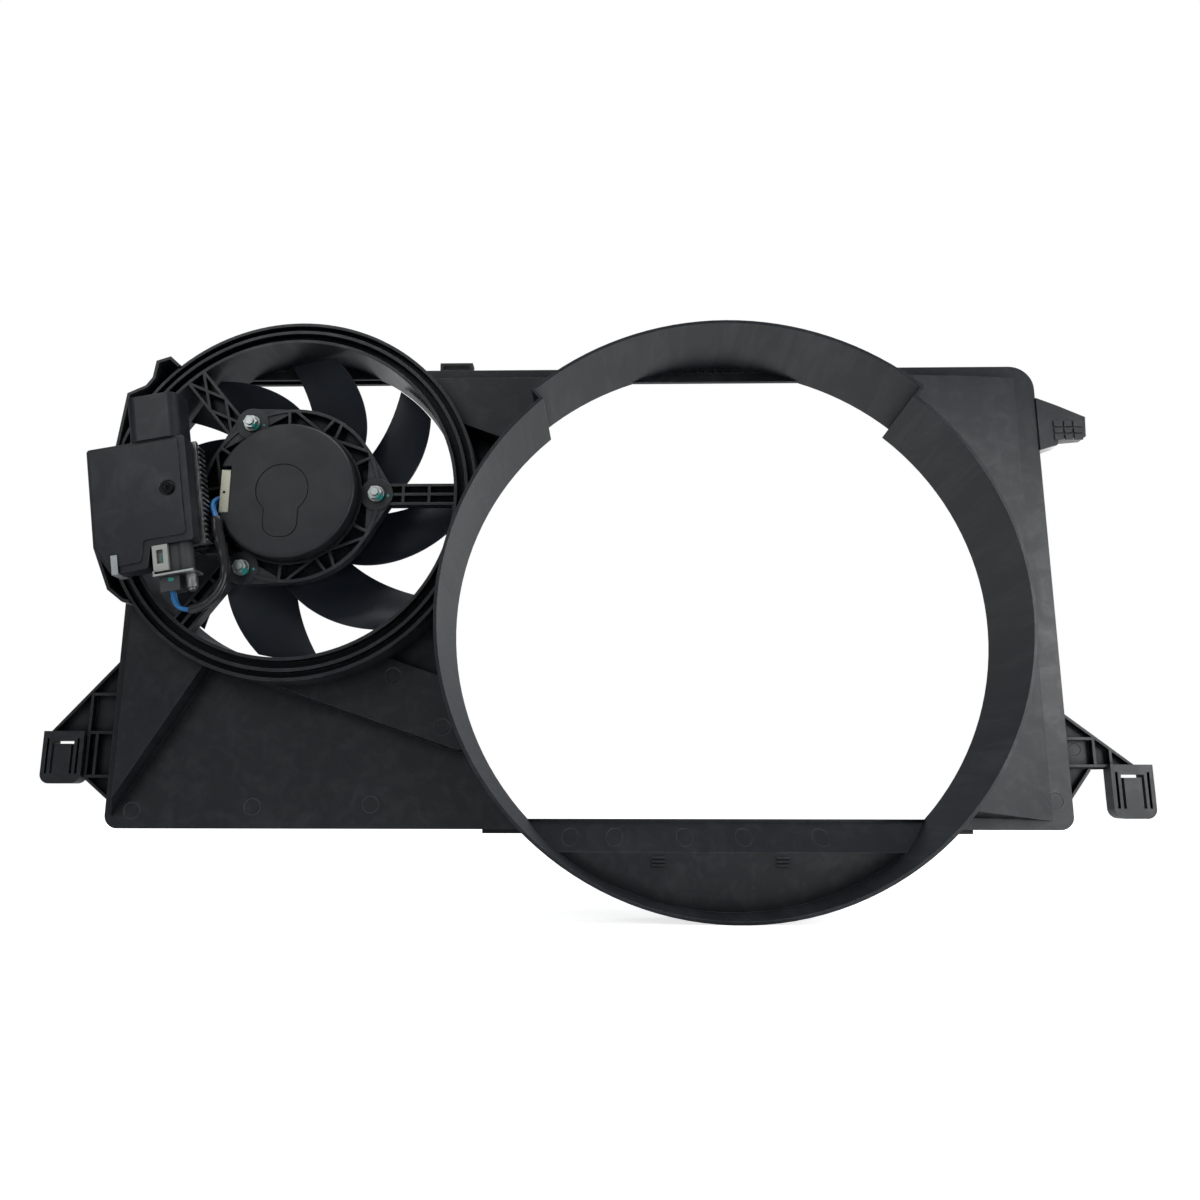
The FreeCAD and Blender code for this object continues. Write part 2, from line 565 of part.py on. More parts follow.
def motor_cover():
    """Round plastic cap with its embossed keyhole and the terminal cut-out."""
    rear = -CARRIER_REAR
    cap = disc(COVER_RADIUS, -COVER_FRONT, rear)
    cap = cap.makeFillet(2.5, [e for e in cap.Edges if e.BoundBox.YMax < -COVER_FRONT + 0.01])
    cap = cap.cut(disc(COVER_RADIUS - WALL, -COVER_FRONT + WALL, rear))
    cap = cap.cut(keyhole(0, KEYHOLE_DEPTH).cut(keyhole(KEYHOLE_LINE, 2 * KEYHOLE_DEPTH)))
    window = box(-COVER_RADIUS - 1, -44.0, -COVER_FRONT - 1, -CARRIER_FRONT, -20.0, 20.0)
    return cap.cut(window).removeSplitter()


def bearing_pair():
    """Rear and front bearings, each a ring with its bore on the shaft."""
    bore = SHAFT_RADIUS + RUNNING_FIT
    brush_front = -CARRIER_REAR - MOTOR_FLANGE
    rear = ring(BEARING_RADIUS, bore, brush_front - BEARING_WIDTH, brush_front)
    return rear, ring(BEARING_RADIUS, bore, -CAN_REAR, -CAN_REAR + BEARING_WIDTH)


def brush_plate():
    """Plate on the motor flange with the bearing seat and four brush boxes."""
    face = -CARRIER_REAR
    body = ring(COVER_RADIUS - WALL - HOLE_CLEARANCE, BEARING_RADIUS - 2, face - MOTOR_FLANGE, face)
    seat = ring(BEARING_RADIUS + 2, BEARING_RADIUS, face - MOTOR_FLANGE - BEARING_WIDTH, face - MOTOR_FLANGE)
    parts = [seat]
    holder = COMMUTATOR_RADIUS + 3
    for i in range(4):
        block = box(holder, holder + BRUSH_LENGTH + 5, face, face + COMMUTATOR_DEPTH + 1,
                    -BRUSH_WIDTH / 2 - 1.2, BRUSH_WIDTH / 2 + 1.2)
        slot = box(holder - 1, holder + BRUSH_LENGTH + 3.8, face + 1, face + COMMUTATOR_DEPTH - 0.5,
                   -BRUSH_WIDTH / 2, BRUSH_WIDTH / 2)
        block = block.cut(slot)
        block.rotate(vec(0, 0, 0), Y_AXIS, 45 + 90 * i)
        parts.append(block)
    return body.fuse(parts).removeSplitter()


def around(count, first, shape):
    """Copies of a shape turned round the fan axis."""
    copies = []
    for i in range(count):
        turned = shape.copy()
        turned.rotate(vec(0, 0, 0), Y_AXIS, -first - 360.0 * i / count)
        copies.append(turned)
    return Part.makeCompound(copies)


def brush_set():
    """Four brushes on the commutator and the springs behind them."""
    front, rear = -CARRIER_REAR + 1, -CARRIER_REAR + COMMUTATOR_DEPTH - 0.5
    start = COMMUTATOR_RADIUS - 1
    end = COMMUTATOR_RADIUS + BRUSH_LENGTH
    brush = box(start, end, front, rear, -BRUSH_WIDTH / 2, BRUSH_WIDTH / 2)
    brush = brush.cut(disc(COMMUTATOR_RADIUS + BRUSH_CLEARANCE, front, rear))
    middle = (front + rear) / 2
    reach = COMMUTATOR_RADIUS + 3 + BRUSH_LENGTH + 3.8 - end
    spring = Part.makeCylinder(2.0, reach, vec(end, middle, 0), vec(1, 0, 0))
    spring = spring.cut(Part.makeCylinder(1.2, reach, vec(end, middle, 0), vec(1, 0, 0)))
    return around(4, 45, brush), around(4, 45, spring)


def armature():
    """Slotted core, winding heads and commutator on the shaft."""
    core_rear = -CAN_REAR - CAN_WALL - WINDING_DEPTH - 1.0
    core_front = core_rear - CORE_DEPTH
    core = disc(ARMATURE_RADIUS, core_front, core_rear)
    slot = box(ARMATURE_RADIUS * 0.5, ARMATURE_RADIUS - 3, core_front, core_rear, -2.2, 2.2)
    slot = slot.fuse(box(ARMATURE_RADIUS - 4, ARMATURE_RADIUS + 1, core_front, core_rear, -0.8, 0.8))
    core = core.cut(around(12, 0, slot)).cut(disc(SHAFT_RADIUS, core_front, core_rear))
    windings = []
    for start in (core_front - WINDING_DEPTH, core_rear):
        head = ring(ARMATURE_RADIUS - 3, COMMUTATOR_RADIUS + 2, start, start + WINDING_DEPTH)
        windings.append(head)
    commutator = ring(COMMUTATOR_RADIUS, SHAFT_RADIUS, -CARRIER_REAR + 0.5, -CARRIER_REAR + COMMUTATOR_DEPTH)
    return core, Part.makeCompound(windings), commutator


def field_magnets():
    """Four arc magnets inside the can."""
    rear = -CAN_REAR - CAN_WALL - 1.5
    arc = ring(CAN_RADIUS - CAN_WALL, ARMATURE_RADIUS + AIR_GAP, rear - CORE_DEPTH - 3, rear)
    half = math.radians(MAGNET_ANGLE / 2)
    reach = 2 * CAN_RADIUS
    wedge = plate([(0, 0), (reach, -reach * math.tan(half)), (reach, reach * math.tan(half))],
                  rear - CORE_DEPTH - 3, rear)
    return around(4, 45, arc.common(wedge))


def studs_and_nuts():
    """Three studs from the motor flange through the ears, with flanged nuts."""
    studs, nuts = [], []
    flange_rear = MOTOR_FLANGE - CARRIER_REAR
    for ear in EAR_ANGLES:
        x, z = polar(STUD_CIRCLE_RADIUS, ear)
        stud = disc(STUD_RADIUS, -CARRIER_FRONT - NUT_HEIGHT - 1.5, flange_rear, x, z)
        studs.append(stud.fuse(disc(STUD_RADIUS + 2, flange_rear, flange_rear + 1.5, x, z)))
        nut = hexagon(NUT_ACROSS_FLATS, -CARRIER_FRONT - NUT_HEIGHT, -CARRIER_FRONT, x, z)
        nut = nut.fuse(disc(NUT_ACROSS_FLATS * 0.66, -CARRIER_FRONT - 1.3, -CARRIER_FRONT, x, z))
        nuts.append(nut.cut(disc(STUD_RADIUS, -CARRIER_FRONT - NUT_HEIGHT, -CARRIER_FRONT, x, z)))
    return Part.makeCompound(studs), Part.makeCompound(nuts)


def terminal_bracket():
    """Bent contact plate that shows in the cut-out of the motor cover."""
    front = -COVER_FRONT + 4.0
    left = -COVER_RADIUS + 3.0
    half = TERMINAL_LENGTH / 2
    face = box(left, left + 7.5, front, front + 1.2, -half, half)
    leg = box(left + 6.3, left + 7.5, front, -CARRIER_REAR - MOTOR_FLANGE, -half / 2, half / 2)
    return face.fuse(leg).cut(disc(1.1, front - 1, front + 2, left + 3.2, -1)).removeSplitter()


def motor_shaft():
    shaft = disc(SHAFT_RADIUS, -SHAFT_FRONT, -HUB_REAR)
    return shaft.fuse(disc(SHAFT_RADIUS - 1, -HUB_REAR, -SHAFT_REAR + 3)).removeSplitter()


def hub_nut():
    nut = hexagon(NUT_ACROSS_FLATS + 2, -HUB_REAR, -HUB_REAR + 5)
    return nut.cut(disc(SHAFT_RADIUS - 1, -HUB_REAR, 0))


def at_fan(shape):
    return shape.translated(vec(FAN_X, 0, FAN_Z))


def at_module(shape):
    """Tilt a shape built about the module's own middle and put it beside the fan."""
    tilted = shape.copy()
    tilted.rotate(vec(0, 0, 0), Y_AXIS, -MODULE_TILT)
    tilted.translate(vec(FAN_X - MODULE_TO_FAN_X, 0, FAN_Z - MODULE_TO_FAN_Z))
    return tilted


def module_outline():
    right, top = MODULE_WIDTH / 2, MODULE_HEIGHT / 2
    return [(-right, 6 - top), (12 - right, -top - 17), (2, -top - 17), (5, -top), (right, -top),
            (right, top), (-right, top)]


def socket_place():
    """Left, right, front and rear of the harness socket."""
    right = MODULE_WIDTH / 2 - 3
    return right - SOCKET_WIDTH, right, -MODULE_FRONT - 1, -MODULE_FRONT - 1 + SOCKET_DEPTH


def module_cover():
    """Box-shaped cover with a tab at its foot and the harness socket on its top edge."""
    front, rear = -MODULE_FRONT, -MODULE_FRONT + COVER_DEPTH
    face = front + COVER_STEP
    body = plate(module_outline(), face, rear)
    body = body.makeFillet(COVER_CORNER, [e for e in body.Edges if e.BoundBox.YLength > COVER_DEPTH / 2])
    border = [-COVER_EDGE] + [-COVER_BORDER] * 4 + [-COVER_EDGE] * 2
    raised = plate(offset_loop(module_outline(), border), front, face)
    raised = raised.makeFillet(COVER_CORNER, [e for e in raised.Edges if e.BoundBox.YLength > COVER_STEP / 2])
    room = plate(offset_loop(module_outline(), [-WALL] * 7), face + WALL, rear)
    body = body.fuse(raised).cut(room)
    left, right, socket_front, socket_rear = socket_place()
    top = MODULE_HEIGHT / 2
    socket = box(left, right, socket_front, socket_rear, top, top + SOCKET_LENGTH)
    socket = socket.makeFillet(8.5, [e for e in socket.Edges if e.BoundBox.ZLength > SOCKET_LENGTH - 1
                                     and e.BoundBox.YMax < socket_front + 0.1])
    room = box(left + WALL, right - WALL, socket_front + WALL, socket_rear - WALL,
               top + WALL, top + SOCKET_LENGTH)
    room = room.makeFillet(6.0, [e for e in room.Edges if e.BoundBox.ZLength > SOCKET_LENGTH - 4
                                 and e.BoundBox.YMax < socket_front + WALL + 0.1])
    body = body.fuse(socket.cut(room))
    middle = (socket_front + socket_rear) / 2
    for at in pin_places():
        body = body.cut(box(at - 1.5, at + 1.5, middle - 0.6, middle + 0.6, top - WALL - 1, top + WALL + 1))
    x, z = screw_place()
    return body.cut(disc(6.5, front - 1, front + 1.0, x, z)).cut(disc(2.5, front, rear, x, z)).removeSplitter()


def pin_places():
    left, right, front, rear = socket_place()
    return [left + share * (right - left) for share in (0.28, 0.5, 0.72)]


def screw_place():
    return MODULE_WIDTH / 2 - 16.0, 1.0


def module_screw():
    x, z = screw_place()
    head = disc(4.5, -MODULE_FRONT - 0.8, -MODULE_FRONT + 1.0, x, z)
    head = head.cut(hexagon(4.0, -MODULE_FRONT - 0.8, -MODULE_FRONT + 0.2, x, z))
    return head.fuse(disc(2.5, -MODULE_FRONT + 1.0, sink_front() + SINK_BASE, x, z))


def sink_front():
    return -MODULE_FRONT + COVER_DEPTH


def heat_sink():
    """Aluminium base with a row of fins that stand proud on the right."""
    right, top = MODULE_WIDTH / 2, MODULE_HEIGHT / 2
    front = sink_front()
    body = box(-right + 1, right + SINK_LIP, front, front + SINK_BASE, -top, top - 1)
    fins = []
    count = int((2 * top - 6) / FIN_PITCH) + 1
    for i in range(count):
        z = -top + 3 + i * FIN_PITCH
        fins.append(box(-right + 1, right + SINK_LIP + FIN_TIP, front + SINK_BASE / 2, front + SINK_BASE + FIN_LENGTH,
                        z - FIN_THICKNESS / 2, z + FIN_THICKNESS / 2))
    x, z = screw_place()
    return body.fuse(fins).cut(disc(2.5, front, front + SINK_BASE, x, z)).removeSplitter()


def electronics():
    """Board with its transistors, capacitors and choke, and the pins of the socket."""
    right, top = MODULE_WIDTH / 2 - WALL - 1, MODULE_HEIGHT / 2 - WALL - 1
    board_front = sink_front() - 4.0
    x, z = screw_place()
    board = box(-right, right, board_front, board_front + BOARD, 5 - top, top)
    board = board.cut(disc(4.0, board_front, board_front + BOARD, x, z))
    transistors = [box(-26 + 15 * i, -16 + 15 * i, board_front + BOARD, sink_front(), -30, -18) for i in range(3)]
    capacitors = [disc(5.0, board_front - 7.5, board_front, -24 + 12 * i, 22) for i in range(2)]
    choke = ring(8.5, 4.0, board_front - 6.5, board_front, -20, -2)
    left, socket_right, socket_front, socket_rear = socket_place()
    middle = (socket_front + socket_rear) / 2
    pins = []
    for at in pin_places():
        foot = box(at - 1.5, at + 1.5, middle, board_front, top - 8, top - 2)
        pin = box(at - 1.5, at + 1.5, middle - 0.6, middle + 0.6, top - 8, top + 24)
        pins.append(pin.fuse(foot).removeSplitter())
    return board, Part.makeCompound(transistors), Part.makeCompound(capacitors), choke, Part.makeCompound(pins)


def module_clips():
    """Spring clips that hold the cover to the heat sink at the top and the foot."""
    front = -MODULE_FRONT + 4
    rear = sink_front() + SINK_BASE
    top = MODULE_HEIGHT / 2
    upper = box(-17, -9, front, rear, top, top + 1.2).fuse(box(-17, -9, rear - SINK_BASE, rear, top - 1, top))
    foot = -top - 17
    lower = box(-25, -20, -MODULE_FRONT - 1, -MODULE_FRONT, foot - 1.2, foot + 14)
    lower = lower.fuse(box(-25, -20, -MODULE_FRONT - 1, sink_front(), foot - 1.2, foot))
    return upper.removeSplitter(), lower.removeSplitter()


def lead_path(route):
    """Edges of straight runs joined by tangent arcs, and the radii of the arcs."""
    points = [vec(*p) for p in route]
    edges, radii = [], []
    start = points[0]
    for a, b, c in zip(points, points[1:], points[2:]):
        before, after = (b - a), (c - b)
        half_turn = before.getAngle(after) / 2
        setback = 0.45 * min(before.Length, after.Length)
        entry = b - before.normalize() * setback
        leave = b + after.normalize() * setback
        radius = setback / math.tan(half_turn)
        bisector = ((entry + leave) * 0.5 - b).normalize()
        middle = b + bisector * (radius / math.cos(half_turn) - radius)
        edges.append(Part.LineSegment(start, entry).toShape())
        edges.append(Part.Arc(entry, middle, leave).toShape())
        radii.append(radius)
        start = leave
    edges.append(Part.LineSegment(start, points[-1]).toShape())
    return edges, radii


def tube(edges, radius):
    first = edges[0]
    start = first.valueAt(first.FirstParameter)
    circle = Part.Wire(Part.makeCircle(radius, start, first.tangentAt(first.FirstParameter)))
    return Part.Wire(edges).makePipeShell([circle], True, False)


def lead():
    """Two wires from the plug to the motor, with a sleeve over the middle of their run."""
    route = [(FAN_X + x, y, FAN_Z + z) for x, y, z in LEAD_ROUTE]
    edges, radii = lead_path([plug_place(0), plug_place(10)] + route + [terminal_place(9), terminal_place(0)])
    print("lead length", round(sum(e.Length for e in edges)), "radii", [round(r, 1) for r in radii])
    wire = tube(edges, WIRE_RADIUS)
    wires = [wire.translated(vec(0, side * WIRE_SPACING / 2, 0)) for side in (-1, 1)]
    covered = edges[4:-6]
    sleeve = tube(covered, SLEEVE_RADIUS).cut(tube(covered, SLEEVE_RADIUS - SLEEVE_WALL))
    return Part.makeCompound(wires), sleeve


def terminal_place(before):
    """Point on the leg of the terminal bracket where the wires end, or a little before it."""
    return (FAN_X - COVER_RADIUS + 9.3 - before, -COVER_FRONT + 9.2, FAN_Z - 4.0)


def plug_place(below):
    """Point under the lower face of the plug block, in the frame of the whole object."""
    local = vec(16.0, -MODULE_FRONT + 9.0, -MODULE_HEIGHT / 2 - 37.0 - below)
    point = at_module(Part.Vertex(local)).Point
    return (point.x, point.y, point.z)


def motor_plug():
    """Plug body, lock, metal clip plate, wire block and wrap under the module."""
    foot = -MODULE_HEIGHT / 2
    middle = -MODULE_FRONT + 9.0
    body = Part.makeCylinder(PLUG_RADIUS, PLUG_LENGTH - 1.5, vec(28, middle, foot - PLUG_LENGTH + 1.5), vec(0, 0, 1))
    body = body.fuse(box(18, 28, middle - 5, middle + 5, foot - PLUG_LENGTH + 1.5, foot)).removeSplitter()
    lock = box(6, 17.7, middle - 8, middle + 7, foot - 21, foot - 0.3)
    lock = lock.cut(box(9, 14, middle - 9, middle - 5, foot - 15, foot - 4))
    clip = box(6, 37, middle - 10, middle + 8, foot - PLUG_LENGTH, foot - PLUG_LENGTH + 1.5)
    clip = clip.fuse(box(6, 7.2, middle - 10, middle + 8, foot - PLUG_LENGTH, foot - PLUG_LENGTH + 4))
    block = box(9, 24, middle - 6, middle + 6, foot - 37, foot - PLUG_LENGTH)
    wrap = Part.makeCylinder(4.5, 11.0, vec(31, middle, foot - PLUG_LENGTH - 11), vec(0, 0, 1))
    wrap = wrap.fuse(Part.makeCylinder(3.4, 13.0, vec(31, middle, foot - PLUG_LENGTH - 13), vec(0, 0, 1)))
    return body, lock, clip.removeSplitter(), block, wrap.removeSplitter()


def left_bracket():
    """Ribbed plate beside the lower left corner with its snap clip."""
    x, z = FRAME_LEFT, FRAME_BOTTOM
    shape = [(x, z + 138), (x - 54, z + 76), (x - 22, z + 76), (x - 22, z + 41), (x, z + 23)]
    ribs = [((x - 22, z + 110), (x, z + 110)), ((x - 26, z + 78), (x, z + 78)), ((x - 22, z + 42), (x, z + 42)),
            ((x - 22, z + 110), (x - 22, z + 42)), ((x - 15, z + 78), (x - 15, z + 42)),
            ((x - 54, z + 77), (x - 22, z + 77)), ((x, z + 138), (x - 54, z + 77)), ((x - 22, z + 41), (x, z + 23))]
    return bracket(shape, ribs, x - 58, z + 36)


def right_bracket():
    """Ribbed plate beside the lower right corner with its snap clip."""
    x, z = FRAME_RIGHT, FRAME_BOTTOM
    shape = [(x, z + 93), (x, z + 24), (x + 18, z + 48), (x + 56, z + 49)]
    ribs = [((x, z + 73), (x + 23, z + 73)), ((x, z + 51), (x + 55, z + 51)), ((x + 36, z + 51), (x + 36, z + 65)),
            ((x, z + 93), (x + 56, z + 49)), ((x, z + 24), (x + 18, z + 48)), ((x + 23, z + 73), (x + 23, z + 51))]
    return bracket(shape, ribs, x + 33, z + 9)


def bracket(shape, ribs, clip_left, clip_bottom):
    rear = -BRACKET_REAR
    front = rear - BRACKET_PLATE
    body = plate(shape, front, rear)
    for (x0, z0), (x1, z1) in ribs:
        length = math.hypot(x1 - x0, z1 - z0)
        rib = box(0, length, front - BRACKET_RIB_HEIGHT, rear, -RIB / 2, RIB / 2)
        rib.rotate(vec(0, 0, 0), Y_AXIS, -math.degrees(math.atan2(z1 - z0, x1 - x0)))
        body = body.fuse(rib.translated(vec(x0, 0, z0)))
    clip = box(clip_left, clip_left + CLIP_WIDTH, rear - CLIP_DEPTH, rear, clip_bottom, clip_bottom + CLIP_HEIGHT)
    clip = clip.makeFillet(8.0, [e for e in clip.Edges if e.BoundBox.ZMax < clip_bottom + 0.1
                                 and e.BoundBox.YLength > CLIP_DEPTH - 1])
    middle = clip_left + CLIP_WIDTH / 2
    for side in (-1, 1):
        at = middle + side * (TONGUE_WIDTH + SLOT) / 2
        clip = clip.cut(box(at - SLOT / 2, at + SLOT / 2, rear - CLIP_DEPTH, rear, clip_bottom + 8,
                            clip_bottom + CLIP_HEIGHT - 8))
        groove = middle + side * (TONGUE_WIDTH / 2 + SLOT + 3.5)
        clip = clip.cut(box(groove - 1, groove + 1, rear - CLIP_DEPTH, rear - TONGUE_ROOM, clip_bottom + 8,
                            clip_bottom + CLIP_HEIGHT - 6))
    clip = clip.cut(box(middle - TONGUE_WIDTH / 2, middle + TONGUE_WIDTH / 2, rear - CLIP_DEPTH, rear,
                        clip_bottom + CLIP_HEIGHT - 10.5, clip_bottom + CLIP_HEIGHT - 8))
    clip = clip.cut(box(middle - TONGUE_WIDTH / 2, middle + TONGUE_WIDTH / 2, rear - TONGUE_ROOM, rear, clip_bottom - 1,
                        clip_bottom + CLIP_HEIGHT - 8))
    inside = box(FRAME_LEFT, FRAME_RIGHT, -FAR, 0, -FAR, FAR)
    return body.fuse(clip).cut(inside).removeSplitter()


def locating_peg():
    """Peg at the upper right with its grooved grip block."""
    x, z = FRAME_RIGHT, FRAME_TOP
    rear = -BRACKET_REAR
    shape = [(x, z - 30), (x, z - 78), (x + 15, z - 73.5), (x + 16.5, z - 68), (x + 40, z - 66),
             (x + 41, z - 48), (x + 17, z - 37)]
    arm = plate(shape, rear - PEG_DEPTH, rear)
    arm = arm.cut(plate(offset_loop(list(shape), [-WALL] * 7), rear - PEG_DEPTH + WALL + 2, rear))
    grip = box(x + 13, x + 37, rear - PEG_DEPTH - 1.2, rear - PEG_DEPTH, z - 69, z - 52)
    for i in range(1, 3):
        grip = grip.cut(box(x + 13 + 8 * i - GROOVE / 2, x + 13 + 8 * i + GROOVE / 2, -FAR, 0, z - 70, z - 50))
        grip = grip.cut(box(x + 12, x + 38, -FAR, 0, z - 69 + 5.67 * i - GROOVE / 2, z - 69 + 5.67 * i + GROOVE / 2))
    return arm.fuse(grip.Solids).removeSplitter()


def top_clip():
    """Open loop that stands on the top bar."""
    x = FRAME_RIGHT - 524.0
    loop = box(x, x + 29, -12, -2, FRAME_TOP, FRAME_TOP + 8)
    return loop.cut(box(x + 2.5, x + 26.5, -12, -2, FRAME_TOP, FRAME_TOP + 5.5))


def module_tray():
    """Rim beside the fan ring, with two rails and a window plate behind the heat sink."""
    ring_outer = DUCT_OUTER + CHANNEL_WIDTH + 2 * RING_WALL + OUTER_CHANNEL_WIDTH
    shape = [polar(ring_outer + proud, angle) for angle, proud in RIM_OUTLINE]
    rim = plate(shape, -CREST_DEPTH, -SIDE_HOOD_DEPTH)
    rim = rim.cut(plate(offset_loop(shape, [-WALL] * len(shape)), -CREST_DEPTH, -SIDE_HOOD_DEPTH - WALL))
    rim = rim.cut(disc(ring_outer, -CREST_DEPTH, 0))
    tray_front = sink_front() + SINK_BASE + FIN_LENGTH
    right, top = MODULE_WIDTH / 2, MODULE_HEIGHT / 2
    tray = box(-right, right, tray_front, tray_front + WALL, -top, top)
    tray = tray.cut(box(12 - right, right - 12, tray_front, tray_front + WALL, 12 - top, top - 12))
    for z in (-top, top - WALL):
        tray = tray.fuse(box(-right, right - 12, tray_front, -CREST_DEPTH, z, z + WALL))
    tray = tray.fuse(box(-right, WALL - right, tray_front, -CREST_DEPTH, -top, top))
    tray.rotate(vec(0, 0, 0), Y_AXIS, -MODULE_TILT)
    tray.translate(vec(-MODULE_TO_FAN_X, 0, -MODULE_TO_FAN_Z))
    arm = box(-MODULE_TO_FAN_X, -CARRIER_RADIUS + 1, tray_front, -CARRIER_FRONT + 5, 13, 23)
    arm = arm.cut(disc(CARRIER_RADIUS, -CARRIER_FRONT, 0))
    return rim, tray.fuse(arm).removeSplitter()


def build_nodes():
    hull, cavity = hood_bodies()
    rear_bearing, front_bearing = bearing_pair()
    brushes, springs = brush_set()
    core, windings, commutator = armature()
    studs, nuts = studs_and_nuts()
    board, transistors, capacitors, choke, pins = electronics()
    plug, lock, clip, block, wrap = motor_plug()
    upper_clip, lower_clip = module_clips()
    wires, sleeve = lead()
    rim, tray = module_tray()
    fixed = {
        "shroud_panel": shroud_panel(hull, cavity),
        "left_bracket": left_bracket(),
        "right_bracket": right_bracket(),
        "locating_peg": locating_peg(),
        "top_clip": top_clip(),
        "lead_wires": wires,
        "lead_sleeve": sleeve,
        "main_fan_ring": main_fan_ring(hull),
        "electric_fan_ring": electric_fan_ring(hull),
    }
    fan = {
        "motor_carrier": motor_carrier(),
        "lead_clip": lead_clip(),
        "module_rim": rim,
        "module_tray": tray,
        "fan_impeller": fan_impeller(),
        "hub_nut": hub_nut(),
        "motor_shaft": motor_shaft(),
        "motor_can": motor_can(),
        "field_magnets": field_magnets(),
        "armature_core": core,
        "armature_windings": windings,
        "commutator": commutator,
        "rear_bearing": rear_bearing,
        "front_bearing": front_bearing,
        "brush_plate": brush_plate(),
        "brushes": brushes,
        "brush_springs": springs,
        "terminal_bracket": terminal_bracket(),
        "motor_cover": motor_cover(),
        "motor_studs": studs,
        "flange_nuts": nuts,
    }
    module = {
        "module_cover": module_cover(),
        "module_screw": module_screw(),
        "heat_sink": heat_sink(),
        "circuit_board": board,
        "power_transistors": transistors,
        "capacitors": capacitors,
        "choke": choke,
        "socket_pins": pins,
        "module_clips": Part.makeCompound([upper_clip, lower_clip]),
        "motor_plug": plug,
        "plug_lock": lock,
        "plug_clip": clip,
        "plug_block": block,
        "wire_wrap": wrap,
    }
    nodes = dict(fixed)
    nodes.update({name: at_fan(shape) for name, shape in fan.items()})
    nodes.update({name: at_module(shape) for name, shape in module.items()})
    return nodes


def main():
    os.makedirs("parts", exist_ok=True)
    for name, shape in build_nodes().items():
        print(name, shape.ShapeType, len(shape.Solids), shape.isValid(), round(shape.Volume / 1000, 1), "cm3")
        shape.exportStep("parts/" + name + ".step")


main()
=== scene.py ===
"""Looks of the radiator fan shroud: the motor lead, materials, floor, lights and camera."""

import json
import math

import bmesh
import bpy
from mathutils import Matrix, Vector


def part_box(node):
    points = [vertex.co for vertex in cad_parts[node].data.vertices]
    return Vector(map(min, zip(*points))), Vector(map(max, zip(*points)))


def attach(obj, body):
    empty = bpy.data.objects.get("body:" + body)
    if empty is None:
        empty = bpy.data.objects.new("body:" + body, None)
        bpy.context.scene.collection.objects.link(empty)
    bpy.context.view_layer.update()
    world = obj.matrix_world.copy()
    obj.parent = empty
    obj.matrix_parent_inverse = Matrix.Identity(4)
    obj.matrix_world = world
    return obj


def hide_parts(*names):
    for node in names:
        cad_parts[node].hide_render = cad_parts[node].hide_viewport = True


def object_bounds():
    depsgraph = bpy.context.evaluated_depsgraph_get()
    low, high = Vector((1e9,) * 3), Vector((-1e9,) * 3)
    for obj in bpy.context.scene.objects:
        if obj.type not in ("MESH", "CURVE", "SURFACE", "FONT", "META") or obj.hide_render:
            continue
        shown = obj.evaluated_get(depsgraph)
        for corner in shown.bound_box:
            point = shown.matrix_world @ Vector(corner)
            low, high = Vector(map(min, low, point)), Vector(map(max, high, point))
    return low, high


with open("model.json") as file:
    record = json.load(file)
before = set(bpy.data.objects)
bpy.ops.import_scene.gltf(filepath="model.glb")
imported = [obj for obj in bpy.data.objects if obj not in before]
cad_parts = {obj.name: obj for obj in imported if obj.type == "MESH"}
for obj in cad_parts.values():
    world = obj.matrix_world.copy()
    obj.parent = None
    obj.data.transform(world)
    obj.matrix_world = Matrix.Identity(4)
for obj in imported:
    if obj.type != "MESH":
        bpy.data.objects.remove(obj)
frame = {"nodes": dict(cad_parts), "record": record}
cad_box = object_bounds()
scene = bpy.context.scene

# --- camera, as in the photograph: from a little below the middle, tilted up ---
CAMERA_PLACE = (-0.08792, -0.80278, -0.13319)
CAMERA_TURN = (101.233, -0.067, 1.069)
CAMERA_LENS = 28.5
CAMERA_SENSOR = 36.0
CAMERA_CLIP = (0.01, 50.0)

camera = bpy.data.objects.new("camera", bpy.data.cameras.new("camera"))
scene.collection.objects.link(camera)
camera.location = CAMERA_PLACE
camera.rotation_euler = [math.radians(a) for a in CAMERA_TURN]
camera.data.lens = CAMERA_LENS
camera.data.sensor_width = CAMERA_SENSOR
camera.data.clip_start, camera.data.clip_end = CAMERA_CLIP
scene.camera = camera
scene.view_settings.view_transform = "Standard"

# --- the motor lead: two wires and a sleeve ---
# Control points of the lead's middle line, from the plug to the terminal. X and Z count from the
# fan's axis.
LEAD_ROUTE = [
    (-0.07235, -0.096, -0.08901), (-0.07061, -0.096, -0.09885), (-0.062, -0.091, -0.103),
    (-0.049, -0.085, -0.095), (-0.041, -0.081, -0.081), (-0.040, -0.080, -0.065),
    (-0.045, -0.080, -0.049), (-0.049, -0.0805, -0.037), (-0.051, -0.080, -0.025),
    (-0.059, -0.072, -0.012), (-0.0562, -0.0658, -0.004), (-0.0472, -0.0658, -0.004),
]
ROUTE_STEPS = 24
TUBE_SIDES = 28
WIRE_DIAMETER = 0.0032
WIRE_SPACING = 0.0038

# The sleeve runs between these two points of the route.
SLEEVE_ENDS = (2, 8)
SLEEVE_RADIUS = 0.00405
SLEEVE_WALL = 0.0006
SLEEVE_OVAL = 0.00050
SLEEVE_TWIST = 5.0
CREASE_DEPTH = 0.00016
CREASE_RATE = 46.0
CREASE_TURN = 1.2
MOUTH_DEPTH = 0.00012
MOUTH_SHARE = 0.05


def fan_axis():
    """X and Z of the motor shaft's middle, to 0.01 mm, since the facets of its mesh shift it."""
    low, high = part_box("motor_shaft")
    return round((low.x + high.x) / 2, 5), round((low.z + high.z) / 2, 5)


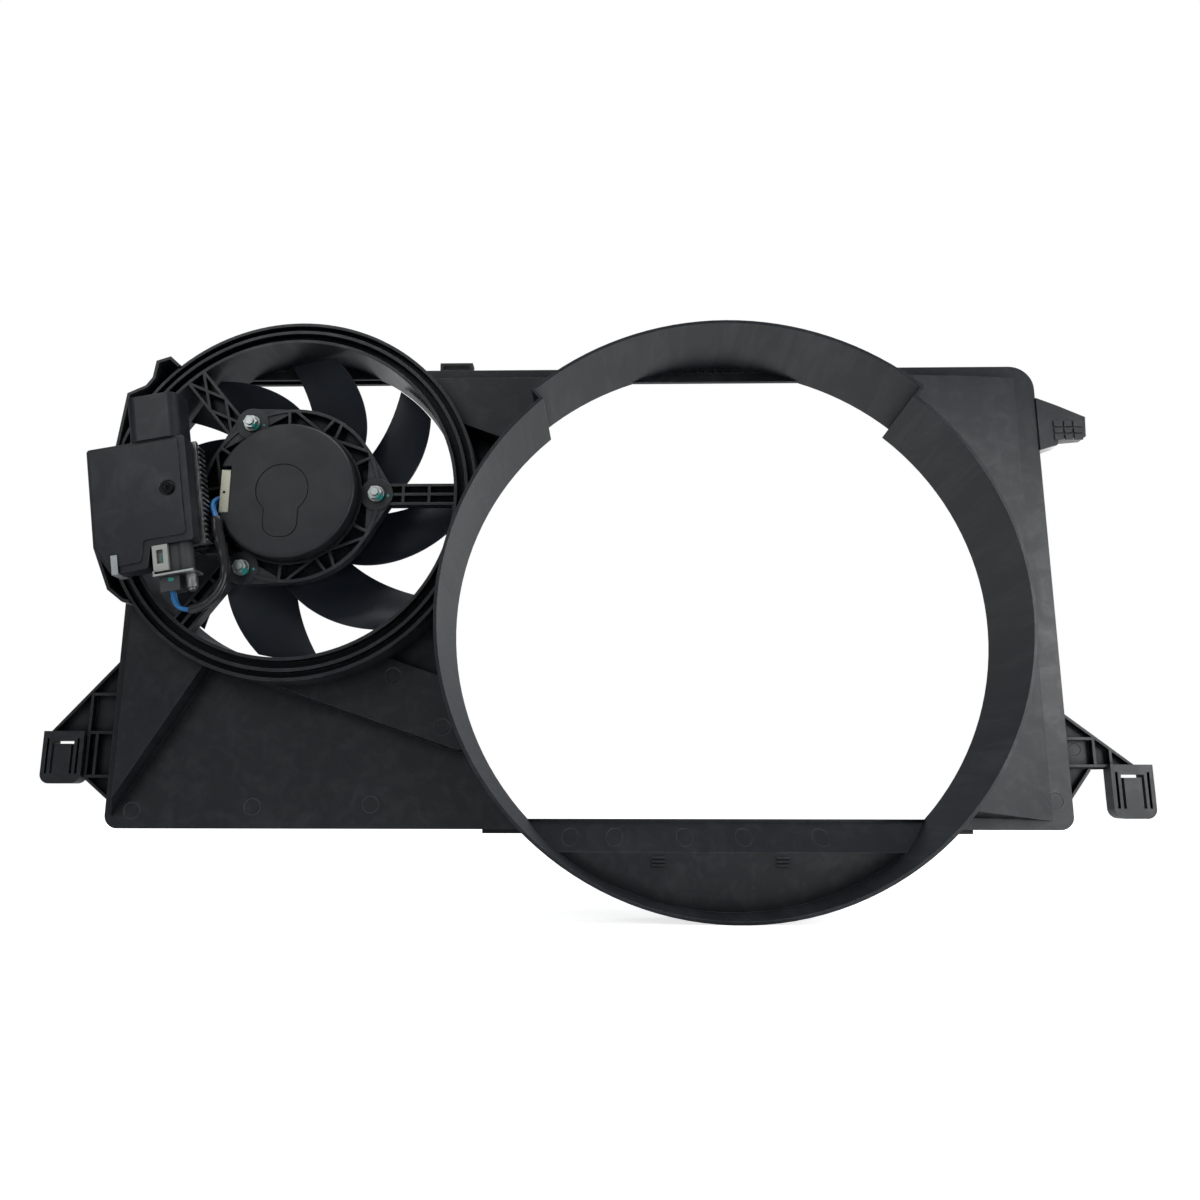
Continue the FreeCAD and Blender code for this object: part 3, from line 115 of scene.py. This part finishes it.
def smooth_line(points):
    """Points along the smooth open curve that has the given control points."""
    data = bpy.data.curves.new("guide", "CURVE")
    data.dimensions = "3D"
    data.resolution_u = ROUTE_STEPS
    spline = data.splines.new("NURBS")
    spline.points.add(len(points) - 1)
    for slot, place in zip(spline.points, points):
        slot.co = (*place, 1.0)
    spline.order_u = 3
    spline.use_endpoint_u = True
    guide = bpy.data.objects.new("guide", data)
    scene.collection.objects.link(guide)
    mesh = bpy.data.meshes.new_from_object(guide)
    line = [v.co.copy() for v in mesh.vertices]
    bpy.data.objects.remove(guide)
    bpy.data.curves.remove(data)
    bpy.data.meshes.remove(mesh)
    return line


def nearest_index(line, place):
    """Index of the line's point that is nearest to a place."""
    return min(range(len(line)), key=lambda i: (line[i] - Vector(place)).length)


def tube_mesh(name, line, radius_at):
    """Tube along a line. radius_at(share, turn) is its radius at a share of the way round."""
    bm = bmesh.new()
    rings = []
    side = None
    for i, place in enumerate(line):
        ahead = line[min(i + 1, len(line) - 1)] - line[max(i - 1, 0)]
        ahead.normalize()
        if side is None:
            side = ahead.orthogonal().normalized()
        side = (side - ahead * side.dot(ahead)).normalized()
        up = ahead.cross(side)
        share = i / (len(line) - 1)
        ring = []
        for k in range(TUBE_SIDES):
            turn = 2 * math.pi * k / TUBE_SIDES
            r = radius_at(share, turn)
            ring.append(bm.verts.new(place + (side * math.cos(turn) + up * math.sin(turn)) * r))
        rings.append(ring)
    for a, b in zip(rings, rings[1:]):
        for k in range(TUBE_SIDES):
            after = (k + 1) % TUBE_SIDES
            bm.faces.new((a[k], a[after], b[after], b[k]))
    mesh = bpy.data.meshes.new(name)
    bm.to_mesh(mesh)
    bm.free()
    for face in mesh.polygons:
        face.use_smooth = True
    piece = bpy.data.objects.new(name, mesh)
    scene.collection.objects.link(piece)
    return piece


def sleeve_radius(share, turn):
    """Soft sleeve: a little oval, with shallow creases and narrower mouths."""
    oval = SLEEVE_OVAL * math.cos(2 * turn + SLEEVE_TWIST * share)
    crease_side = 0.5 + 0.5 * math.cos(turn - CREASE_TURN)
    crease = CREASE_DEPTH * math.sin(share * CREASE_RATE) * crease_side
    mouth = MOUTH_DEPTH * max(0.0, 1 - min(share, 1 - share) / MOUTH_SHARE)
    return SLEEVE_RADIUS + oval + crease - mouth


axis_x, axis_z = fan_axis()
route = [(axis_x + x, y, axis_z + z) for x, y, z in LEAD_ROUTE]
wires = []
for number, side in enumerate((-1, 1), 1):
    line = smooth_line([(x, y + side * WIRE_SPACING / 2, z) for x, y, z in route])
    wire = tube_mesh(f"lead_wire_{number}", line, lambda share, turn: WIRE_DIAMETER / 2)
    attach(wire, "shroud")
    wires.append((wire, line))

middle_line = smooth_line(route)
first, last = [nearest_index(middle_line, route[end]) for end in SLEEVE_ENDS]
sleeve = tube_mesh("sleeve", middle_line[first:last + 1], sleeve_radius)
thick = sleeve.modifiers.new("wall", "SOLIDIFY")
thick.thickness = SLEEVE_WALL
thick.offset = -1.0
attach(sleeve, "shroud")
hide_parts("lead_sleeve")
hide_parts("lead_wires")


# --- places of marks and paint ---
# Each mark is X, Z and radius. X and Z count from the lowest corner of the piece.
HOOD_MARKS = [
    (0.022, 0.018, 0.0065), (0.121, 0.021, 0.0065), (0.218, 0.023, 0.0065),
    (0.235, 0.127, 0.0065), (0.277, 0.085, 0.0065),
    (0.3815, -0.002, 0.0065), (0.417, -0.002, 0.0065), (0.473, -0.002, 0.0065),
    (0.520, -0.002, 0.0065), (0.581, -0.002, 0.0065),
    (0.7719, 0.0265, 0.0070), (0.7958, 0.0679, 0.0055),
]
LOCK_PAINT = [(0.00837, 0.00899, 0.0009), (0.00817, 0.01079, 0.0012), (0.00797, 0.01279, 0.0013),
              (0.00817, 0.01479, 0.0011), (0.00837, 0.01659, 0.0008)]
BLOCK_PAINT = [(0.00833, 0.01002, 0.0015), (0.01013, 0.01022, 0.0013)]
# For these two, X and Z count from the middle of each motor stud.
NUT_PAINT = (0.0050, -0.0046, 0.0032)
CARRIER_PAINT = (0.0098, -0.0012, 0.0009)
STUD_ANGLES = (0.0, 120.0, 240.0)
STUD_CIRCLE = 0.071


def piece_spots(node, marks):
    """The marks of a CAD node as spots (x, z, radius)."""
    low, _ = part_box(node)
    return [(low.x + x, low.z + z, radius) for x, z, radius in marks]


def stud_spots(mark):
    """One spot (x, z, radius) beside each motor stud."""
    x, z, radius = mark
    spots = []
    for angle in STUD_ANGLES:
        turn = math.radians(angle)
        stud_x = axis_x + STUD_CIRCLE * math.cos(turn)
        stud_z = axis_z + STUD_CIRCLE * math.sin(turn)
        spots.append((stud_x + x, stud_z + z, radius))
    return spots


# --- materials ---
# Sockets of a Mix node in its colour mode: share, A and B, and the result.
MIX_INPUTS = (0, 6, 7)
MIX_RESULT = 2
SHADE_SAMPLES = 4
# Where an edge and a hollow begin and end, in the values of their nodes.
EDGE_FADE = (0.995, 0.80)
HOLLOW_FADE = (0.35, 0.95)
# Painted shade in hollows: how far a hollow is looked for, and what is left of the dark colour deep
# in it.
HOLLOW_REACH = 0.012
HOLLOW_SHADE = 0.35
METAL_HOLLOW_REACH = 0.004
METAL_HOLLOW_SHADE = 0.12
# Specular level of a moulding, deep in a hollow and in the open; the lower level in hollows is
# painted shade on the reflections.
MOULDED_SHEEN = (0.12, 0.45)
MOULDED_EDGE = 0.0006
SOFT_EDGE = 0.0003
METAL_EDGE = 0.0003
# Share of the edge colour in flow streaks, dust and rubbed edges; the lighter edges are part
# rubbing, part painted highlight.
FLOW_SHARE = 0.10
DUST_SHARE = 0.08
WORN_AND_HIGHLIGHT_SHARE = 0.70
METAL_WORN_AND_HIGHLIGHT_SHARE = 0.5
LINED_SHADE = 0.55
# Ejector marks: the outline fades between two distances, and the disc is pressed in. They show
# on walls whose normal has less than this Y.
MARK_LINE = (0.0005, 0.0002)
MARK_LINE_SHARE = 0.35
MARK_FRONT = (-0.4, -0.7)
MARK_SLOPE = 0.0006
MARK_DEPTH = 0.0007
PAINT_COLOUR = (0.03, 0.30, 0.27)
PAINT_FADE = 0.0002
ZINC_WARMTH = (1.0, 0.93, 0.76)
WARM_MARGIN = 0.003
WARM_FADE = 0.001


class Look:
    """One procedural material, with short helpers for its nodes.

    Scales count waves to the metre. A noise takes its scale, detail and roughness, and a bump layer
    its height, strength and depth in metres.
    """

    def __init__(self, name):
        self.name = name
        self.material = bpy.data.materials.new(name)
        self.material.use_nodes = True
        self.nodes = self.material.node_tree.nodes
        self.links = self.material.node_tree.links
        self.shader = self.nodes["Principled BSDF"]
        self.place = self.nodes.new("ShaderNodeTexCoord").outputs["Object"]

    def join(self, a, b):
        self.links.new(a, b)

    def feed(self, socket, value):
        """Sets a socket to a number or colour, or joins another node's output to it."""
        if isinstance(value, (tuple, list)):
            socket.default_value = (*value, 1.0)
        elif isinstance(value, (int, float)):
            socket.default_value = value
        else:
            self.join(value, socket)

    def stretched(self, scale):
        mapping = self.nodes.new("ShaderNodeMapping")
        mapping.inputs["Scale"].default_value = scale
        self.join(self.place, mapping.inputs["Vector"])
        return mapping.outputs["Vector"]

    def noise(self, scale, detail=3.0, rough=0.55, vector=None, distort=0.0):
        node = self.nodes.new("ShaderNodeTexNoise")
        node.inputs["Scale"].default_value = scale
        node.inputs["Detail"].default_value = detail
        node.inputs["Roughness"].default_value = rough
        node.inputs["Distortion"].default_value = distort
        self.join(vector or self.place, node.inputs["Vector"])
        return node.outputs["Fac"]

    def cells(self, scale, feature="F1"):
        node = self.nodes.new("ShaderNodeTexVoronoi")
        node.feature = feature
        node.inputs["Scale"].default_value = scale
        self.join(self.place, node.inputs["Vector"])
        return node.outputs["Distance"]

    def ramp(self, value, low, high, out_low=0.0, out_high=1.0):
        """The value, moved from the range low to high into the range out_low to out_high."""
        node = self.nodes.new("ShaderNodeMapRange")
        for name, number in (("From Min", low), ("From Max", high),
                             ("To Min", out_low), ("To Max", out_high)):
            node.inputs[name].default_value = number
        self.join(value, node.inputs["Value"])
        return node.outputs["Result"]

    def sums(self, kind, a, b=0.0):
        node = self.nodes.new("ShaderNodeMath")
        node.operation = kind
        self.feed(node.inputs[0], a)
        self.feed(node.inputs[1], b)
        return node.outputs[0]

    def mix(self, share, a, b, blend="MIX"):
        """Colour a with a share of colour b."""
        node = self.nodes.new("ShaderNodeMix")
        node.data_type = "RGBA"
        node.blend_type = blend
        for slot, value in zip(MIX_INPUTS, (share, a, b)):
            self.feed(node.inputs[slot], value)
        return node.outputs[MIX_RESULT]

    def edge(self, radius):
        """1 on edges and 0 on flat walls, from a rounded normal against the true one."""
        bevel = self.nodes.new("ShaderNodeBevel")
        bevel.samples = SHADE_SAMPLES
        bevel.inputs["Radius"].default_value = radius
        geometry = self.nodes.new("ShaderNodeNewGeometry")
        dot = self.nodes.new("ShaderNodeVectorMath")
        dot.operation = "DOT_PRODUCT"
        self.join(bevel.outputs[0], dot.inputs[0])
        self.join(geometry.outputs["Normal"], dot.inputs[1])
        return self.ramp(dot.outputs["Value"], *EDGE_FADE), bevel.outputs[0]

    def hollow(self, reach):
        """Painted shade: 0 deep in corners and cells, 1 in the open, from ambient occlusion."""
        shade = self.nodes.new("ShaderNodeAmbientOcclusion")
        shade.samples = SHADE_SAMPLES
        shade.inputs["Distance"].default_value = reach
        return self.ramp(shade.outputs["AO"], *HOLLOW_FADE)

    def near(self, spots):
        """Distance across the front, in XZ, to the nearest of the spots, less its radius."""
        split = self.nodes.new("ShaderNodeSeparateXYZ")
        self.join(self.place, split.inputs[0])
        flat = self.nodes.new("ShaderNodeCombineXYZ")
        self.join(split.outputs["X"], flat.inputs["X"])
        self.join(split.outputs["Z"], flat.inputs["Z"])
        nearest = 1.0
        for x, z, radius in spots:
            reach = self.nodes.new("ShaderNodeVectorMath")
            reach.operation = "DISTANCE"
            self.join(flat.outputs[0], reach.inputs[0])
            reach.inputs[1].default_value = (x, 0.0, z)
            beyond = self.sums("SUBTRACT", reach.outputs["Value"], radius)
            nearest = self.sums("MINIMUM", beyond, nearest)
        return nearest

    def facing(self, low, high):
        """1 on walls that face the front, 0 on the rest."""
        geometry = self.nodes.new("ShaderNodeNewGeometry")
        split = self.nodes.new("ShaderNodeSeparateXYZ")
        self.join(geometry.outputs["Normal"], split.inputs[0])
        return self.ramp(split.outputs["Y"], low, high)

    def bump(self, *layers, normal=None):
        """Layers of (height, strength, distance), each on the one before."""
        for height, strength, distance in layers:
            node = self.nodes.new("ShaderNodeBump")
            node.inputs["Strength"].default_value = strength
            node.inputs["Distance"].default_value = distance
            self.join(height, node.inputs["Height"])
            if normal is not None:
                self.join(normal, node.inputs["Normal"])
            normal = node.outputs[0]
        self.join(normal, self.shader.inputs["Normal"])

    def colour(self, value):
        self.join(value, self.shader.inputs["Base Color"])

    def colour_so_far(self):
        return self.shader.inputs["Base Color"].links[0].from_socket

    def roughness(self, value):
        self.join(value, self.shader.inputs["Roughness"])

    def specular(self, value):
        self.join(value, self.shader.inputs["Specular IOR Level"])


def moulded(name, dark, light, edge_colour, rough, grain, streak=(60.0, 6.0, 60.0),
            edge=MOULDED_EDGE, marks=()):
    """Moulded plastic: fine grain, slow tone changes, flow streaks, rubbed edges that also carry a
    painted highlight, and painted shade in hollows.
    """
    look = Look(name)
    slow = look.ramp(look.noise(7.0, 4.0, 0.6), 0.32, 0.68)
    flow = look.ramp(look.noise(1.0, 5.0, 0.62, look.stretched(streak), 0.6), 0.46, 0.72)
    dust = look.ramp(look.noise(420.0, 2.0, 0.7), 0.64, 0.80)
    wear_and_highlight, rounded = look.edge(edge)
    worn_and_highlit = look.sums("MULTIPLY", wear_and_highlight, look.ramp(look.noise(70.0, 4.0), 0.35, 0.7, 0.15, 1.0))
    unshaded_share = look.hollow(HOLLOW_REACH)
    base = look.mix(slow, dark, light)
    base = look.mix(look.sums("MULTIPLY", flow, FLOW_SHARE), base, edge_colour)
    base = look.mix(look.sums("MULTIPLY", dust, DUST_SHARE), base, edge_colour)
    # Painted shade: the colour darkens deep in hollows and corners.
    base = look.mix(unshaded_share, [HOLLOW_SHADE * c for c in dark], base)
    # Lighter edges: part rubbing, part painted highlight.
    look.colour(look.mix(look.sums("MULTIPLY", worn_and_highlit, WORN_AND_HIGHLIGHT_SHARE), base, edge_colour))
    gloss = look.sums("ADD", look.ramp(slow, 0.0, 1.0, rough - 0.04, rough + 0.05),
                      look.ramp(flow, 0.0, 1.0, 0.0, -0.07))
    look.roughness(look.sums("SUBTRACT", gloss, look.sums("MULTIPLY", worn_and_highlit, 0.08)))
    # Painted shade on the reflections: the specular level drops in hollows.
    look.specular(look.ramp(unshaded_share, 0.0, 1.0, *MOULDED_SHEEN))
    layers = [(look.noise(14.0, 3.0), 0.12, 0.0006),
              (look.cells(grain), 0.10, 0.00006),
              (look.noise(grain * 0.6, 3.0), 0.16, 0.00008)]
    if marks:
        layers.append(ejector_marks(look, marks, edge_colour))
    look.bump(*layers, normal=rounded)
    return look


def ejector_marks(look, spots, line_colour):
    """Draws the outlines of the round marks, and returns the bump layer that presses them in."""
    beyond = look.near(spots)
    front = look.facing(*MARK_FRONT)
    line = look.ramp(look.sums("ABSOLUTE", beyond), *MARK_LINE)
    share = look.sums("MULTIPLY", look.sums("MULTIPLY", line, front), MARK_LINE_SHARE)
    look.colour(look.mix(share, look.colour_so_far(), line_colour))
    rim = look.ramp(beyond, -MARK_SLOPE, 0.0)
    return look.sums("MULTIPLY", rim, front), 1.0, MARK_DEPTH


def metal(name, dark, light, rough, scale, streak=(900.0, 900.0, 900.0), wear_and_highlight_colour=None,
          lined=False):
    """Plated, cast or ground metal, with painted shade in hollows and lighter edges that are part
    rubbing, part painted highlight.
    """
    look = Look(name)
    cloud = look.ramp(look.noise(scale, 4.0, 0.6), 0.3, 0.7)
    lines = look.noise(1.0, 4.0, 0.6, look.stretched(streak))
    wear_and_highlight, rounded = look.edge(METAL_EDGE)
    base = look.mix(cloud, dark, light)
    if lined:
        base = look.mix(look.ramp(lines, 0.35, 0.65), [LINED_SHADE * c for c in dark], base)
    # Painted shade: the metal's colour darkens deep in hollows.
    base = look.mix(look.hollow(METAL_HOLLOW_REACH), [METAL_HOLLOW_SHADE * c for c in dark], base)
    # Lighter edges: part rubbing, part painted highlight.
    look.colour(look.mix(look.sums("MULTIPLY", wear_and_highlight, METAL_WORN_AND_HIGHLIGHT_SHARE), base, wear_and_highlight_colour or light))
    look.roughness(look.sums("ADD", look.ramp(cloud, 0.0, 1.0, rough - 0.06, rough + 0.08),
                             look.ramp(lines, 0.3, 0.7, -0.04, 0.04)))
    look.bump((lines, 0.12, 0.00005), (look.noise(scale * 3, 3.0), 0.08, 0.00008), normal=rounded)
    look.shader.inputs["Metallic"].default_value = 1.0
    return look


def painted(look, spots, ragged):
    """Green locking paint on the look at the spots, with a ragged outline."""
    edge = look.ramp(look.noise(420.0, 3.0), 0.0, 1.0, -ragged, ragged)
    paint = look.ramp(look.sums("ADD", look.near(spots), edge), PAINT_FADE, -PAINT_FADE)
    look.colour(look.mix(paint, look.colour_so_far(), PAINT_COLOUR))
    metallic = look.shader.inputs["Metallic"]
    if metallic.default_value > 0:
        look.join(look.sums("SUBTRACT", 1.0, paint), metallic)
    return look


def zinc_plate():
    """Bright zinc plate, warmer on the terminal bracket, with paint on the motor nuts."""
    look = metal("zinc_steel", (0.52, 0.55, 0.54), (0.62, 0.65, 0.64), 0.42, 420.0,
                 wear_and_highlight_colour=(0.85, 0.88, 0.87))
    low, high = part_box("terminal_bracket")
    bracket = [((low.x + high.x) / 2, (low.z + high.z) / 2, (high.z - low.z) / 2 + WARM_MARGIN)]
    warm = look.ramp(look.near(bracket), WARM_FADE, -WARM_FADE)
    look.colour(look.mix(warm, look.colour_so_far(), ZINC_WARMTH, "MULTIPLY"))
    return painted(look, stud_spots(NUT_PAINT), 0.003)


def wire_look():
    """Soft blue insulation with scuffs."""
    look = Look("blue_wire")
    slow = look.ramp(look.noise(160.0, 3.0), 0.3, 0.7)
    scuff = look.ramp(look.noise(700.0, 3.0), 0.6, 0.8)
    base = look.mix(slow, (0.012, 0.13, 0.36), (0.022, 0.18, 0.46))
    look.colour(look.mix(look.sums("MULTIPLY", scuff, 0.3), base, (0.12, 0.26, 0.45)))
    look.roughness(look.ramp(slow, 0.0, 1.0, 0.34, 0.48))
    look.bump((look.noise(900.0, 3.0), 0.10, 0.00005))
    return look


def board_look():
    """Lacquered board with copper tracks under the lacquer."""
    look = Look("board_green")
    tracks = look.ramp(look.cells(420.0, "DISTANCE_TO_EDGE"), 0.06, 0.10)
    mottle = look.noise(120.0, 3.0)
    ground = look.mix(mottle, (0.010, 0.10, 0.045), (0.02, 0.16, 0.07))
    look.colour(look.mix(tracks, (0.04, 0.28, 0.12), ground))
    look.roughness(look.ramp(mottle, 0.3, 0.7, 0.22, 0.34))
    look.bump((tracks, 0.3, 0.00005))
    return look


LOOKS = {look.name: look for look in (
    painted(moulded("black_moulding", (0.0094, 0.0115, 0.0145), (0.0132, 0.0156, 0.0190),
                    (0.17, 0.18, 0.19), 0.42, 2600.0,
                    marks=piece_spots("shroud_panel", HOOD_MARKS)),
            stud_spots(CARRIER_PAINT), 0.0012),
    moulded("fan_black", (0.0085, 0.0122, 0.0190), (0.0165, 0.0205, 0.0285),
            (0.090, 0.098, 0.110), 0.34, 2000.0, (16.0, 16.0, 16.0)),
    moulded("cover_black", (0.0128, 0.0145, 0.0175), (0.0168, 0.0188, 0.0222),
            (0.10, 0.105, 0.11), 0.46, 3400.0, (20.0, 20.0, 20.0)),
    moulded("module_black", (0.0105, 0.0125, 0.0165), (0.0150, 0.0175, 0.0220),
            (0.20, 0.205, 0.21), 0.40, 3000.0, (30.0, 30.0, 30.0)),
    moulded("ferrite", (0.07, 0.07, 0.075), (0.12, 0.12, 0.13), (0.2, 0.2, 0.2), 0.6, 1800.0),
    moulded("board_plastic", (0.03, 0.027, 0.024), (0.05, 0.045, 0.04),
            (0.15, 0.14, 0.13), 0.5, 2400.0),
    moulded("carbon", (0.018, 0.018, 0.018), (0.04, 0.04, 0.04), (0.2, 0.2, 0.2), 0.38, 1500.0),
    painted(moulded("plug_grey", (0.046, 0.048, 0.050), (0.070, 0.073, 0.076),
                    (0.22, 0.225, 0.23), 0.44, 3000.0),
            piece_spots("plug_block", BLOCK_PAINT), 0.0006),
    painted(moulded("lock_grey", (0.42, 0.43, 0.40), (0.52, 0.53, 0.49),
                    (0.72, 0.72, 0.69), 0.40, 3000.0),
            piece_spots("plug_lock", LOCK_PAINT), 0.0005),
    moulded("sleeve_black", (0.015, 0.015, 0.017), (0.028, 0.028, 0.031),
            (0.10, 0.10, 0.10), 0.24, 2200.0, (200.0, 200.0, 60.0), SOFT_EDGE),
    zinc_plate(),
    metal("bright_steel", (0.50, 0.50, 0.51), (0.66, 0.66, 0.67), 0.30, 300.0,
          (1300.0, 60.0, 60.0), lined=True),
    metal("dark_steel", (0.008, 0.008, 0.009), (0.022, 0.022, 0.024), 0.46, 500.0,
          wear_and_highlight_colour=(0.3, 0.3, 0.3)),
    metal("lamination", (0.28, 0.28, 0.29), (0.42, 0.42, 0.43), 0.45, 300.0, (20.0, 2400.0, 20.0)),
    metal("copper_wire", (0.42, 0.16, 0.05), (0.62, 0.28, 0.10), 0.30, 700.0,
          (2500.0, 300.0, 2500.0)),
    metal("copper_bar", (0.60, 0.28, 0.13), (0.78, 0.42, 0.24), 0.28, 300.0,
          (300.0, 1600.0, 300.0)),
    metal("cast_aluminium", (0.44, 0.44, 0.44), (0.60, 0.60, 0.60), 0.44, 260.0,
          (620.0, 40.0, 40.0), lined=True),
    metal("tinned_brass", (0.62, 0.56, 0.38), (0.78, 0.73, 0.55), 0.30, 600.0),
    board_look(),
    wire_look(),
)}


def dress(piece, look):
    """Puts a look on every material slot of a piece."""
    if not piece.material_slots:
        piece.data.materials.append(look.material)
    for slot in piece.material_slots:
        slot.material = look.material


for part in frame["record"]["subparts"]:
    dress(frame["nodes"][part["node"]], LOOKS[part["material_slot"]])
for wire, _ in wires:
    dress(wire, LOOKS["blue_wire"])
dress(sleeve, LOOKS["sleeve_black"])

# --- background, floor and lamps ---
WORLD_TINT = (0.86, 0.93, 1.0, 1.0)
WORLD_LIGHT = 0.17
WHITE = (1.0, 1.0, 1.0, 1.0)
FLOOR_COLOUR = (0.93, 0.93, 0.93, 1.0)
FLOOR_ROUGHNESS = 0.9
FLOOR_HALF = 8.0
# The floor's glow for the camera grows between two distances from the object.
GLOW_DISTANCE = (0.5, 2.2)
GLOW_STRENGTH = (0.76, 1.0)
MIDDLE = (-0.1, 0.0, 0.0)
WIDE = 180.0
# Name, place, target, size, power and spread of each soft lamp.
LAMPS = [
    ("key", (0.95, -0.60, 0.16), MIDDLE, (0.5, 0.6), 2.8, WIDE),
    ("right", (0.76, -0.98, 0.12), (0.32, 0.0, -0.02), (0.4, 0.5), 0.8, 70.0),
    ("left", (-1.1, -1.75, 1.15), (-0.36, -0.1, 0.1), (0.9, 0.9), 6.5, WIDE),
    ("top", (0.2, -0.5, 2.2), MIDDLE, (2.0, 1.0), 26.0, WIDE),
    ("back", (1.7, 1.5, 0.25), (-0.25, 0.0, 0.0), (1.0, 1.0), 27.0, WIDE),
    ("back_left", (-1.6, 1.8, 0.2), MIDDLE, (1.0, 1.0), 3.0, WIDE),
]


def camera_sees(tree, seen, lit, output):
    """Shows one shader to the camera, and another to every other ray."""
    mixer = tree.nodes.new("ShaderNodeMixShader")
    path = tree.nodes.new("ShaderNodeLightPath")
    tree.links.new(path.outputs["Is Camera Ray"], mixer.inputs[0])
    tree.links.new(lit.outputs[0], mixer.inputs[1])
    tree.links.new(seen.outputs[0], mixer.inputs[2])
    tree.links.new(mixer.outputs[0], tree.nodes[output].inputs["Surface"])


def make_world():
    world = bpy.data.worlds.new("studio")
    scene.world = world
    world.use_nodes = True
    tree = world.node_tree
    lit = tree.nodes["Background"]
    lit.inputs["Color"].default_value = WORLD_TINT
    lit.inputs["Strength"].default_value = WORLD_LIGHT
    seen = tree.nodes.new("ShaderNodeBackground")
    seen.inputs["Color"].default_value = WHITE
    seen.inputs["Strength"].default_value = 1.0
    camera_sees(tree, seen, lit, "World Output")


def make_floor():
    low, half = cad_box[0].z, FLOOR_HALF
    mesh = bpy.data.meshes.new("floor")
    corners = [(-half, -half, low), (half, -half, low), (half, half, low), (-half, half, low)]
    mesh.from_pydata(corners, [], [(0, 1, 2, 3)])
    floor = bpy.data.objects.new("floor", mesh)
    scene.collection.objects.link(floor)
    look = Look("pale_floor")
    look.shader.inputs["Base Color"].default_value = FLOOR_COLOUR
    look.shader.inputs["Roughness"].default_value = FLOOR_ROUGHNESS
    distance = look.nodes.new("ShaderNodeVectorMath")
    distance.operation = "LENGTH"
    look.join(look.place, distance.inputs[0])
    glow = look.nodes.new("ShaderNodeEmission")
    strength = look.ramp(distance.outputs["Value"], *GLOW_DISTANCE, *GLOW_STRENGTH)
    look.join(strength, glow.inputs["Strength"])
    both = look.nodes.new("ShaderNodeAddShader")
    look.join(look.shader.outputs[0], both.inputs[0])
    look.join(glow.outputs[0], both.inputs[1])
    camera_sees(look.material.node_tree, both, look.shader, "Material Output")
    mesh.materials.append(look.material)


def soft_lamp(name, place, target, size, power, spread):
    data = bpy.data.lights.new(name, "AREA")
    data.shape = "RECTANGLE"
    data.size, data.size_y = size
    data.energy = power
    data.spread = math.radians(spread)
    lamp = bpy.data.objects.new(name, data)
    lamp.location = place
    lamp.rotation_euler = (Vector(target) - Vector(place)).to_track_quat("-Z", "Y").to_euler()
    lamp.visible_camera = False
    scene.collection.objects.link(lamp)


make_world()
make_floor()
for lamp in LAMPS:
    soft_lamp(*lamp)
